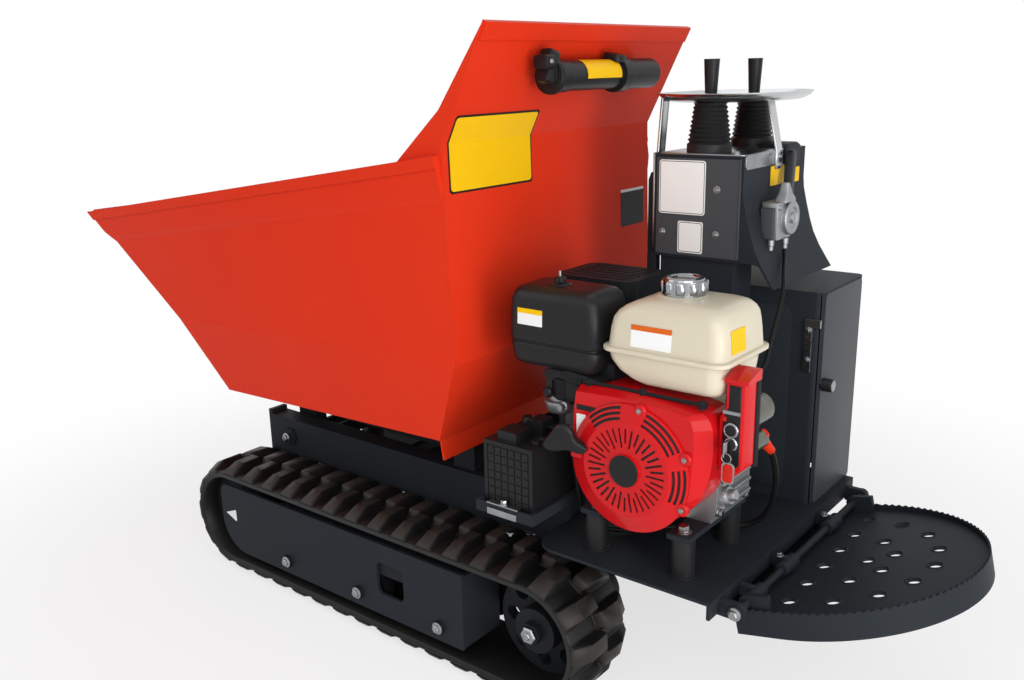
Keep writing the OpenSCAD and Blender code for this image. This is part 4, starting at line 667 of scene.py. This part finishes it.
# The air cleaner is a lid on a dished base: they meet in a seam, and a wing knob on a stud holds them.
# Lid, base and knob are moulded in black plastic; the stud is plated steel.
CLEANER_X, CLEANER_Y = (-62, 136), (176, 301)
CLEANER = [(672, 30, 14), (674, 16, 16), (680, 8, 18), (694, 4, 20), (714, 1, 22), (717, 2, 22),
           (718.5, 4.5, 20), (721.5, 4.5, 20), (723, 1, 22), (726, 0, 22), (770, 1, 22), (800, 3, 22),
           (812, 7, 22), (819, 14, 20), (823, 24, 18), (824, 36, 14)]
KNOB_X, KNOB_Y, KNOB_Z, WING_Z, STUD_Z = 50, 246, 822, 829, 838
KNOB_WING, WING_TURN = (34, 7, 3, 9), (0.7, 0.7, 0)
KNOB = [(22, -4), (22, 3), (19, 5), (11, 6), (11, 14), (9, 16), (0, 16)]
STUD = [(3, 0), (3, 10), (2.2, 11), (0, 11)]
work = bmesh.new()
loft(work, [ring_at(z, CLEANER_X[0] + d, CLEANER_X[1] - d, CLEANER_Y[0] + d, CLEANER_Y[1] - d, r)
            for z, d, r in CLEANER])
lathe(work, KNOB, at(KNOB_X, KNOB_Y, KNOB_Z), UP)
plate(work, *KNOB_WING, (KNOB_X, KNOB_Y, WING_Z), UP, WING_TURN, 1.5)
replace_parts(piece("moulded_cleaner", work, black_plastic, crease=48), "air_cleaner")
work = bmesh.new()
lathe(work, STUD, at(KNOB_X, KNOB_Y, STUD_Z), UP, 16)
piece("cleaner_stud", work, zinc)

# Blank film labels sit on the tank's front and rear and on the air cleaner's front.
# They are vinyl, two of them with a coloured band at the head, and follow the slight lean of the sheet.
film_orange = finish_of("orange_film", "#DE6A26", "#D6621F", 0.36, 1.2, 0.04, edge_mm=0.3)
film_yellow = finish_of("yellow_film", "#FBC714", "#F5BF0C", 0.36, 1.2, 0.04, edge_mm=0.3)
LABEL_T, BAND_T, BAND_TALL = 0.5, 0.8, 9
TANK_LABEL_W, TANK_LABEL_X, TANK_LABEL_Y, TANK_LEAN = 78, -168, 292, (0, 1, 0.07)
CLEANER_LABEL_W, CLEANER_LABEL_X, CLEANER_LEAN = 56, 80, (0, 1, 0.05)
TANK_REAR_X, REAR_LEAN = -298.6, (-1, 0, 0.08)
work = bmesh.new()
plate(work, TANK_LABEL_W, 38, 1, LABEL_T, (TANK_LABEL_X, TANK_LABEL_Y - 1.6, 763), TANK_LEAN)
plate(work, CLEANER_LABEL_W, 30, 1, LABEL_T, (CLEANER_LABEL_X, 299.6, 768), CLEANER_LEAN)
piece("blank_labels_white", work, film_white)
work = bmesh.new()
plate(work, TANK_LABEL_W, BAND_TALL, 1, BAND_T, (TANK_LABEL_X, TANK_LABEL_Y - 2.65, 778), TANK_LEAN)
piece("label_band_orange", work, film_orange)
work = bmesh.new()
plate(work, CLEANER_LABEL_W, BAND_TALL, 1, BAND_T, (CLEANER_LABEL_X, 299.3, 779), CLEANER_LEAN)
plate(work, 52, 40, 2, LABEL_T, (TANK_REAR_X, 232, 766), REAR_LEAN)
piece("labels_yellow", work, film_yellow)

# The carburettor hangs a cast float bowl with a drain screw and a fuel tap below the air cleaner.
# Bowl and tap are bright die cast alloy.
BOWL_AT = (58, 236, 570)
FLOAT_BOWL = [(0, 0), (10, 0), (22, 4), (27, 10), (28, 22), (31, 23), (31, 28), (22, 30), (22, 42), (0, 42)]
DRAIN_SCREW = [(5, 0), (5, -4), (3, -5), (0, -5)]
FUEL_TAP = [(9, 0), (9, 10), (6, 12), (6, 22), (0, 22)]
work = bmesh.new()
lathe(work, FLOAT_BOWL, at(*BOWL_AT), UP)
lathe(work, DRAIN_SCREW, at(*BOWL_AT), UP, 6)
lathe(work, FUEL_TAP, at(30, 254, 596), (0.1, 1, 0), 16)
for x in (24, 54):
    bolt(work, at(x, 250, 660), LEFT, 4.5, 6)
piece("float_bowl", work, cast_alloy)

# The choke's linkage is a flat link and a lever with a round knob, on a block in front of the carburettor.
# All are moulded in black plastic with rounded edges.
CHOKE_LINK, CHOKE_LEVER, CHOKE_BLOCK = (86, 22, 9, 4), (14, 60, 6, 4), (60, 50, 12, 40)
CHOKE_KNOB = [(10, 0), (10, 8), (7, 11), (0, 11)]
CHOKE_X, CHOKE_LEAN = 66, (0, 1, 0.1)
work = bmesh.new()
plate(work, *CHOKE_LINK, (36, 256, 652), LEFT, soft=1.0)
plate(work, *CHOKE_LEVER, (CHOKE_X, 258, 636), CHOKE_LEAN, soft=1.0)
plate(work, *CHOKE_BLOCK, (30, 220, 626), LEFT, soft=8.0)
lathe(work, CHOKE_KNOB, at(CHOKE_X, 260, 618), LEFT, 16)
piece("choke_linkage", work, black_plastic)

# The key box is a red moulding with soft edges, its lid turned over towards the engine.
# A black steel plate closes its back, and a black fascia with two round switches fills its front.
KEY_FACE_Y, KEY_BACK_Y, KEY_X = 268, 226, -311
KEY_CASE = [(-331, 555), (-317, 541), (-300.3, 541), (-286.3, 555), (-286.3, 640), (-297, 662), (-297, 712),
            (-331, 712)]
KEY_LID = [(KEY_BACK_Y, 706), (276, 706), (276, 712), (238, 724), (KEY_BACK_Y, 724)]
KEY_FASCIA = [(-325, 563), (-314, 553), (-305, 553), (-294, 563), (-294, 641), (-304, 663), (-304, 700),
              (-325, 700)]
KEY_STRIP = [(-324, 662), (-306, 662), (-306, 697), (-324, 697)]
KEY_PLATE = [(-334, 548), (-288, 548), (-288, 706), (-334, 706)]
FASCIA_T, SWITCH_Z, LOCK_Z = 1.4, 624, 600
fascia_y = KEY_FACE_Y + FASCIA_T
work = bmesh.new()
across(work, KEY_CASE, KEY_BACK_Y, KEY_FACE_Y, 4.0)
slab(work, KEY_LID, 44, facing(at(-340, 0, 0), (1, 0, 0)), 2.5)
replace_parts(piece("key_case", work, shroud_red), "key_box")
work = bmesh.new()
across(work, KEY_FASCIA, KEY_FACE_Y - 1, fascia_y, 0.6)
across(work, KEY_STRIP, KEY_FACE_Y, KEY_FACE_Y + 2.4, 0.6)
for z, high in ((SWITCH_Z, 5.2), (LOCK_Z, 9.6)):
    lathe(work, [(9.2, 2), (9.2, high), (8, high + 0.6), (0, high + 0.6)], at(KEY_X, fascia_y, z), LEFT)
piece("key_fascia", work, black_plastic)
work = bmesh.new()
across(work, KEY_PLATE, 214, KEY_BACK_Y, 3.0)
piece("key_back", work, black_satin)

# The switch and the lock have chromed bezels; the key stands in the lock and carries a tag on a wire ring.
# The tag is a red film in a bright frame, and a small red lamp shows above the switch.
tag_red = finish_of("red_tag", "#C8281E", "#BE2219", 0.4, 1.2, 0.06)
BRIGHT_STRIP = [(-325, 650), (-294, 650), (-294, 656), (-325, 656)]
SWITCH_BEZEL = [(13.5, 0), (13.5, 4), (12, 5.5), (10, 5.5), (9.5, 3), (0, 3)]
LOCK_BEZEL = [(12.5, 0), (12.5, 3), (10.5, 5), (8.5, 5), (8.5, 8), (7, 9), (0, 9)]
LAMP = [(-301, 637), (-294, 637), (-294, 645), (-301, 645)]
RING_STEPS, RING_R, RING_Z, RING_LINK = 20, 8.5, 581, [(0.9, 0), (0.9, 2.7)]
KEY_BLADE, TAG_FRAME, TAG_FILM = (3, 26, 1.2, 20), (23, 38, 8, 1.4), (18, 32, 6, 1.2)
TAG_X, TAG_Z = KEY_X - 5, 555
work = bmesh.new()
across(work, BRIGHT_STRIP, fascia_y, KEY_FACE_Y + 2)
lathe(work, SWITCH_BEZEL, at(KEY_X, fascia_y, SWITCH_Z), LEFT)
lathe(work, LOCK_BEZEL, at(KEY_X, fascia_y, LOCK_Z), LEFT)
plate(work, *KEY_BLADE, (KEY_X, KEY_FACE_Y + 9, LOCK_Z - 3), LEFT, soft=0.6)
for k in range(RING_STEPS):
    a, mid = math.tau * k / RING_STEPS, math.tau * (k + 0.5) / RING_STEPS
    spot = at(KEY_X - 2 + RING_R * math.cos(a), KEY_FACE_Y + 22, RING_Z + RING_R * math.sin(a))
    lathe(work, RING_LINK, spot, (-math.sin(mid), 0, math.cos(mid)), 8)
plate(work, *TAG_FRAME, (TAG_X, KEY_FACE_Y + 20, TAG_Z), LEFT, soft=0.5)
piece("key_switch", work, chrome)
work = bmesh.new()
plate(work, *TAG_FILM, (TAG_X, KEY_FACE_Y + 21.4, TAG_Z), LEFT, soft=0.4)
across(work, LAMP, fascia_y, KEY_FACE_Y + 2.2)
piece("key_tag", work, tag_red)

# A boot covers the starter's live stud, and the lead leaves through its long neck.
# It is moulded in a dull red rubber and pushed over the stud.
terminal_red = finish_of("red_rubber_boot", "#E2381F", "#D83018", 0.5, 1.0, 0.06)
BOOT_NECK = [(0, -12), (9, -12), (11.5, -8), (12, 6), (10.5, 14), (9, 30), (8, 44), (6.2, 46), (5.6, 46)]
BOOT_HEAD = [(0, -6), (10, -6), (11, -2), (11, 12), (8, 18), (0, 18)]
work = bmesh.new()
lathe(work, BOOT_NECK, at(-291, 108, 555), (-9, -32, -34), 20)
lathe(work, BOOT_HEAD, at(-292, 106, 556), (-0.4, 0.5, 0.75), 20)
piece("terminal_boot", work, terminal_red)

# The battery has screw plugs and a post cap in its top, moulded in black plastic.
# A plated clamp plate, bent over the tray's outer lip, is bolted down and holds it.
BATTERY_TOP, PLUG_X, PLUG_YS, POST_X, POST_Y = 535, 54, (232, 250, 300, 322), 134, 240
PLUG = [(9, -1), (9, 4), (7.5, 5.5), (3, 5.5), (3, 4.5), (0, 4.5)]
POST_CAP = [(12, -2), (12, 10), (9, 14), (0, 14)]
CLAMP_X, CLAMP_Y, CLAMP_Z, CLAMP_T, TRAY_LIP_Y = 98, 366, 414, 2.5, 372
CLAMP_PLATE, CLAMP_APRON = (74, 16, 2, CLAMP_T), (70, 13, 2, CLAMP_T)
work = bmesh.new()
for y in PLUG_YS:
    lathe(work, PLUG, at(PLUG_X, y, BATTERY_TOP), UP, 20)
lathe(work, POST_CAP, at(POST_X, POST_Y, BATTERY_TOP), UP, 20)
piece("battery_plugs", work, black_plastic)
work = bmesh.new()
plate(work, *CLAMP_APRON, (CLAMP_X, TRAY_LIP_Y, 399), LEFT, soft=0.6)
plate(work, *CLAMP_PLATE, (CLAMP_X, CLAMP_Y, CLAMP_Z), UP, LEFT, 0.6)
bolt(work, at(CLAMP_X, CLAMP_Y, CLAMP_Z + CLAMP_T), UP, 6, 9)
bolt(work, at(CLAMP_X - 10, TRAY_LIP_Y - 12, 361), (0, 0, -1), 6, 8)
piece("battery_clamp", work, zinc)

# The cover on the console's side is a separate sheet with a folded edge, held by pan head screws.
# Its powder coat is a lighter grey than the console's, with the same fine peel.
cover_grey = finish_of("grey_powder_coat", "#4A4C50", "#444649", 0.45, 1.6, 0.08)
dress(cover_grey, "console_cover")
COVER_FACE_Y, COVER_SCREWS = -30, ((-118, 975), (-118, 889), (-2, 887))
PAN_SCREW = [(7.5, 0), (7.5, 1), (7, 1.6), (5.2, 1.6), (5, 3.4), (3.6, 5), (1.8, 5.2), (1.8, 3), (0, 3)]
COVER_EDGE = [(-165.5, 845), (-163, 845), (-163, 1033), (-165.5, 1033)]
work = bmesh.new()
for x, z in COVER_SCREWS:
    lathe(work, PAN_SCREW, at(x, COVER_FACE_Y, z), LEFT)
piece("cover_screws", work, zinc)
work = bmesh.new()
across(work, COVER_EDGE, -34, -28.6, 1.0)
piece("cover_edge", work, cover_grey)

# Two blank white plates with thin black borders are on the cover, and two yellow ones on the console's rear.
# All are vinyl film with rounded corners, flat on the sheet.
film_black = finish_of("black_film", "#1D1D1E", "#19191A", 0.4, 1.2, 0.04, edge_mm=0.3)
COVER_PLATES = [(-44, 976, 100, 104, 6), (-64, 880, 54, 62, 4)]
BORDER_IN, BORDER_W, BORDER_PROUD, CONSOLE_REAR_X = 4, 2.4, 0.75, -170
WIDE_YELLOW, TALL_YELLOW = (62, 38, 2, FILM_T), (22, 30, 2, FILM_T)
work = bmesh.new()
for x, z, wide, tall, r in COVER_PLATES:
    plate(work, wide, tall, r, FILM_T, (x, COVER_FACE_Y, z), LEFT)
piece("cover_plates", work, film_white)
work = bmesh.new()
for x, z, wide, tall, r in COVER_PLATES:
    lay = facing(at(x, COVER_FACE_Y + BORDER_PROUD, z), LEFT)
    outer = round_rect(wide - BORDER_IN, tall - BORDER_IN, 5)
    inner = round_rect(wide - BORDER_IN - BORDER_W, tall - BORDER_IN - BORDER_W, 4)
    rings = [[work.verts.new(lay @ Vector((u / 1000, v / 1000, 0.0))) for u, v in ring]
             for ring in (outer, inner)]
    edges = [work.edges.new((ring[k - 1], ring[k])) for ring in rings for k in range(len(ring))]
    bmesh.ops.bridge_loops(work, edges=edges)
piece("plate_borders", work, film_black)
work = bmesh.new()
plate(work, *WIDE_YELLOW, (CONSOLE_REAR_X, -182, 991), REAR)
plate(work, *TALL_YELLOW, (CONSOLE_REAR_X, -278, 984), REAR)
piece("console_plates_yellow", work, film_yellow)

# A plated top plate carries the boots and is turned down over the console's rear edge.
# A flat plated strap runs down the front edge and carries the guard's front post.
# A coated hood closes the right corner, and a coated channel backs the strap.
CONSOLE_TOP, TOP_T, TOP_BOLTS = 1038, 2.5, ((-148, -46), (-4, -296))
TOP_PLATE, TOP_APRON = (186, 270, 14, TOP_T), (132, 27, 8, 2.2)
HOOD_TOP, HOOD_REAR = (58, 74, 12, 10), (74, 40, 10, 3)
FRONT_STRAP = [(18.2, 852), (22, 852), (22, 1040), (18.2, 1040)]
STRAP_CHANNEL = [(22, 770), (38, 770), (42, 800), (42, 985), (36, 1000), (22, 1000)]
work = bmesh.new()
plate(work, *TOP_PLATE, (-77, -172, CONSOLE_TOP), UP, LEFT, 0.8)
plate(work, *TOP_APRON, (CONSOLE_REAR_X, -103, 1026), REAR, soft=0.6)
across(work, FRONT_STRAP, -52, -32, 0.6)
for x, y in TOP_BOLTS:
    bolt(work, at(x, y, CONSOLE_TOP + TOP_T), UP, 5, 6)
piece("console_top_plate", work, zinc)
work = bmesh.new()
plate(work, *HOOD_TOP, (-143, -247, CONSOLE_TOP + 1), UP, LEFT, 4.0)
plate(work, *HOOD_REAR, (CONSOLE_REAR_X, -247, 1026), REAR, soft=1.2)
across(work, STRAP_CHANNEL, -66, -48, 1.5)
piece("console_hood", work, charcoal)

# The lever guard is a pressed dish with a flared rim, carried by two flat posts that are bolted on.
# The levers stand up through two slots in its floor. Polished steel gives it a soft mirror.
polished = finish_of("polished_steel", "#CDCFD0", "#B4B6B8", 0.24, 3.0, 0.04, metal=1.0, cloud_mm=60)
GUARD_X, GUARD_Y, GUARD_R = (-212, 56), (-330, -24), 110
GUARD_SLOT, GUARD_SLOT_YS = (120, 44, 20, 0.5), (-83, -272)
DISH = [(1134, 36), (1134.6, 28), (1137.4, 17), (1143, 6), (1148.6, 1), (1151, 0), (1151.6, 1.6),
        (1149.6, 3.6), (1145, 8.5), (1139.6, 19), (1137, 29), (1136.4, 38)]
REAR_POST = [(-170.2, 1004), (-170.2, 1038), (-148, 1138), (-153, 1138), (-175.2, 1038), (-175.2, 1004)]
FRONT_POST = [(18.2, 1004), (18.2, 1038), (10, 1143), (15, 1143), (23.2, 1038), (23.2, 1004)]
work = bmesh.new()
loft(work, [ring_at(z, GUARD_X[0] + d, GUARD_X[1] - d, GUARD_Y[0] + d, GUARD_Y[1] - d, GUARD_R - d)
            for z, d in DISH])
across(work, REAR_POST, -190.5, -164.5, 1.2)
across(work, FRONT_POST, -71, -45, 1.2)
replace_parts(piece("guard_dish", work, polished, crease=48), "lever_guard")
work = bmesh.new()
for y in GUARD_SLOT_YS:
    plate(work, *GUARD_SLOT, (-72, y, 1136.3), UP, LEFT)
piece("guard_slots", work, soft_rubber)
work = bmesh.new()
for x, y, out in ((-175.2, -177.5, -1), (23.2, -58, 1)):
    for z in (1028, 1012):
        bolt(work, at(x, y, z), (out, 0, 0), 4.5, 5.5)
piece("guard_bolts", work, zinc)

# The throttle unit is a cast box with a turned disc and a wedge shaped cable stop, beside a dark switch.
# Cable ferrules point down from both; a moulded black lever leans up from the disc along the console.
THROTTLE_BOX = [(-212, 876), (-188, 876), (-178, 947), (-212, 947)]
THROTTLE_DISC = [(33, 0), (33, 8), (31, 10), (21, 10), (19.5, 8), (11, 8), (10, 13), (7, 14), (0, 14)]
STOP_Y, CABLE_STOP = -140, [(946, 6, 24), (952, 6, 22), (962, 4, 12), (974, 2, 7), (982, 0, 5)]
FERRULE = [(0, 0), (5, 0), (5, 8), (6.4, 9), (6.4, 20), (0, 20)]
THROTTLE_SWITCH = [(-207, 878), (-186, 878), (-180, 938), (-207, 938)]
THROTTLE_LEVER, LEVER_FACING, LEVER_LEAN = (26, 112, 12, 11), (-1, 0, 0.1), (0, -0.34, 1)
work = bmesh.new()
across(work, THROTTLE_BOX, -161, -98, 3.0)
lathe(work, THROTTLE_DISC, at(-211, -150, 914), REAR, 36)
loft(work, [ring_at(z, -214 - d, -198 + d / 2, STOP_Y - w, STOP_Y + w, 4) for z, d, w in CABLE_STOP])
for x, y in ((-214, -133), (-202, -95)):
    lathe(work, FERRULE, at(x, y, 857), UP, 16)
bolt(work, at(-212, -106, 938), REAR, 4, 4.5)
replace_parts(piece("throttle_box", work, cast_alloy), "throttle_unit")
work = bmesh.new()
across(work, THROTTLE_SWITCH, -97.6, -88, 3.0)
piece("throttle_switch", work, cover_grey)
work = bmesh.new()
plate(work, *THROTTLE_LEVER, (-187, -193, 985), LEVER_FACING, LEVER_LEAN, 4.0)
piece("throttle_lever", work, black_plastic)

# The oil tank's access panel is a second sheet with rounded corners, spaced from the tank by its seal.
# A second sheet covers the rear in a lighter grey, which is painted light on that face. A rubber sleeve sits
# on the buffer that the folded platform meets.
# Plated bolts hold the platform's catch beside it.
BOX_SIDE_Y, BOX_REAR_X, CATCH_X, CATCH_Y, CATCH_ZS = -138, -295, -271, -133, (700, 640)
ACCESS_PANEL, REAR_SHEET = (186, 392, 26, 1.6), (194, 442, 12, 1.4)
BUFFER_SLEEVE = [(11.2, 0), (13.4, 1), (13.4, 17), (12.6, 21), (9, 22.3), (0, 22.3)]
work = bmesh.new()
plate(work, *ACCESS_PANEL, (-142, BOX_SIDE_Y, 548), LEFT, soft=0.6)
piece("tank_panels", work, charcoal)
# The rear sheet's lighter grey is painted light.
work = bmesh.new()
plate(work, *REAR_SHEET, (BOX_REAR_X, -249, 550), REAR, soft=0.6)
piece("tank_rear_sheet", work, cover_grey)
work = bmesh.new()
lathe(work, BUFFER_SLEEVE, at(BOX_REAR_X - 1.6, -160, 587), REAR)
piece("buffer_sleeve", work, soft_rubber)
work = bmesh.new()
for z in CATCH_ZS:
    bolt(work, at(CATCH_X, CATCH_Y, z), LEFT, 5, 6)
piece("catch_bolts", work, zinc)

# The skip is folded from four millimetre plate and seam welded.
# Its enamel is a gloss orange red, even over each sheet and a little soft at the folds.
enamel = finish_of("orange_red_enamel", "#E63A1E", "#DE3318", 0.3, 9.0, 0.015, edge_mm=2.0, cloud_mm=400,
                   gloss=0.05)
dress(enamel, "skip_floor", "skip_front", "skip_side_left", "skip_side_right", "skip_headboard")

# A pressed band stiffens the top of each side: a square bead along the rim, a flat, and a slope to the sheet.
# It is folded from the same plate, cut off along the skip's front edge, and painted with it.
RIM_REAR, RIM_LIP, FOLD_FRONT, SKIP_HALF = (239, 1059), (LIP_X, 877), (1123, 635), 357
RIM_BAND = [(-2, -0.5), (15, -0.5), (15, -24), (11, -25), (11, -58), (0.3, -86), (-2, -86)]
along_rim = Vector((RIM_LIP[0] - RIM_REAR[0], 0.0, RIM_LIP[1] - RIM_REAR[1]))
front_edge = Vector((RIM_LIP[0] - FOLD_FRONT[0], 0.0, RIM_LIP[1] - FOLD_FRONT[1]))
work = bmesh.new()
for side in (1, -1):
    lay = facing(at(RIM_REAR[0], side * SKIP_HALF, RIM_REAR[1]), along_rim)
    slab(work, [(side * u, v) for u, v in RIM_BAND], along_rim.length - 3, lay)
cut = bmesh.ops.bisect_plane(work, geom=work.verts[:] + work.edges[:] + work.faces[:], clear_outer=True,
                             plane_co=at(RIM_LIP[0], 0, RIM_LIP[1]),
                             plane_no=Vector((front_edge.z, 0.0, -front_edge.x)))
bmesh.ops.edgenet_fill(work, edges=[g for g in cut["geom_cut"] if isinstance(g, bmesh.types.BMEdge)])
piece("rim_bands", work, enamel, "skip")

# A blank yellow plate with a black border is bent over the headboard's fold, near its left edge.
# It is vinyl film in two layers, the border below, and follows the sheet on both sides of the fold.
HEAD_FOLD, HEAD_TOP, FOLD_REAR = (229, 1079), (125, 1284), (220, 663)


def on_head(y, z, proud):
    (x0, z0), (x1, z1) = (HEAD_FOLD, HEAD_TOP) if z > HEAD_FOLD[1] else (FOLD_REAR, HEAD_FOLD)
    out = Vector((z0 - z1, x1 - x0)).normalized() * proud
    return at(x0 + (x1 - x0) * (z - z0) / (z1 - z0) + out.x, y, z + out.y)


PLATE_Y, PLATE_Z, PLATE_COLUMNS, PLATE_R, FOLD_GAP = (92, 342), (987, 1128), 6, 0.007, 0.01
for name, inset, proud, material, slot in (("head_plate_border", 0, 0.5, film_black, "black_plastic"),
                                           ("head_plate", 4, 0.9, film_yellow, "ivory")):
    work = bmesh.new()
    levels = (PLATE_Z[0] + inset, HEAD_FOLD[1] - FOLD_GAP, HEAD_FOLD[1] + FOLD_GAP, PLATE_Z[1] - inset)
    wide = PLATE_Y[1] - PLATE_Y[0] - 2 * inset
    ys = [PLATE_Y[0] + inset + wide * k / PLATE_COLUMNS for k in range(PLATE_COLUMNS + 1)]
    rows = loft(work, [[on_head(y, z, proud) for y in ys] for z in levels], closed=False, caps=False)
    corners = [rows[0][0], rows[0][-1], rows[-1][0], rows[-1][-1]]
    bmesh.ops.bevel(work, geom=corners, offset=PLATE_R, segments=4, profile=0.5, affect="VERTICES",
                    material=-1)
    piece(name, work, material, "skip")

# A small dark plate with a white band at its head is near the headboard's right edge.
# Both are thin vinyl film, left blank, flat on the sheet below the fold.
SMALL_PLATE_Y, SMALL_PLATE_W, SMALL_LEAN = -287, 98, (-1, 0, 0.02)
for name, low, high, proud, material, slot in (
        ("danger_plate_blank", 850, 928, 0.0, film_black, "black_plastic"),
        ("danger_plate_band", 928, 934, 0.1, film_white, "ivory")):
    work = bmesh.new()
    lay = facing(on_head(SMALL_PLATE_Y, (low + high) / 2, proud), SMALL_LEAN)
    slab(work, round_rect(SMALL_PLATE_W, high - low, 3), FILM_T, lay)
    piece(name, work, material, "skip")

# The document tube is a moulded pipe on the headboard; a hinged lid with a clasp and pin closes its left end.
# Lid, clasp and saddle are black plastic, the pin is plated, and a yellow film is wrapped round the middle.
DOC_X, DOC_Z, DOC_R, DOC_LEFT = 128.7, 1190, 28, 163
DOC_LID = [(30.5, -8), (33, -6), (33, 2), (31, 5), (20, 6), (0, 6)]
DOC_PIN = [(0, 0), (4.5, 0), (4.5, 3), (3.2, 4.5), (0, 4.5)]
LID_HOOD, CLASP, SADDLE = (30, 62, 8, 26), (34, 26, 8, 24), (40, 34, 10, 14)
CLASP_Z = DOC_Z + 26
WRAP_R, WRAP_YS = DOC_R + 0.8, (-40, 20, 80)
work = bmesh.new()
lathe(work, DOC_LID, at(DOC_X, DOC_LEFT, DOC_Z), LEFT, 40)
plate(work, *LID_HOOD, (DOC_X - 4, DOC_LEFT, DOC_Z + 14), (0, 1, 0.3), (0, -0.3, 1), 5.0)
plate(work, *CLASP, (DOC_X - 10, DOC_LEFT + 20, CLASP_Z), LEFT, soft=5.0)
plate(work, *SADDLE, (DOC_X - 6, -46, CLASP_Z), (-0.2, 0, 1), LEFT, 4.0)
piece("tube_lid", work, black_plastic, "skip")
work = bmesh.new()
lathe(work, DOC_PIN, at(DOC_X - 27, DOC_LEFT + 34, CLASP_Z), (-1, 0.2, 0.1), 20)
piece("tube_pin", work, zinc, "skip")
work = bmesh.new()
arcs = [math.radians(a) for a in range(96, 200, 8)]
loft(work, [[at(DOC_X + WRAP_R * math.cos(a), y, DOC_Z + WRAP_R * math.sin(a)) for a in arcs]
            for y in WRAP_YS], closed=False, caps=False)
piece("tube_film", work, film_yellow, "skip")
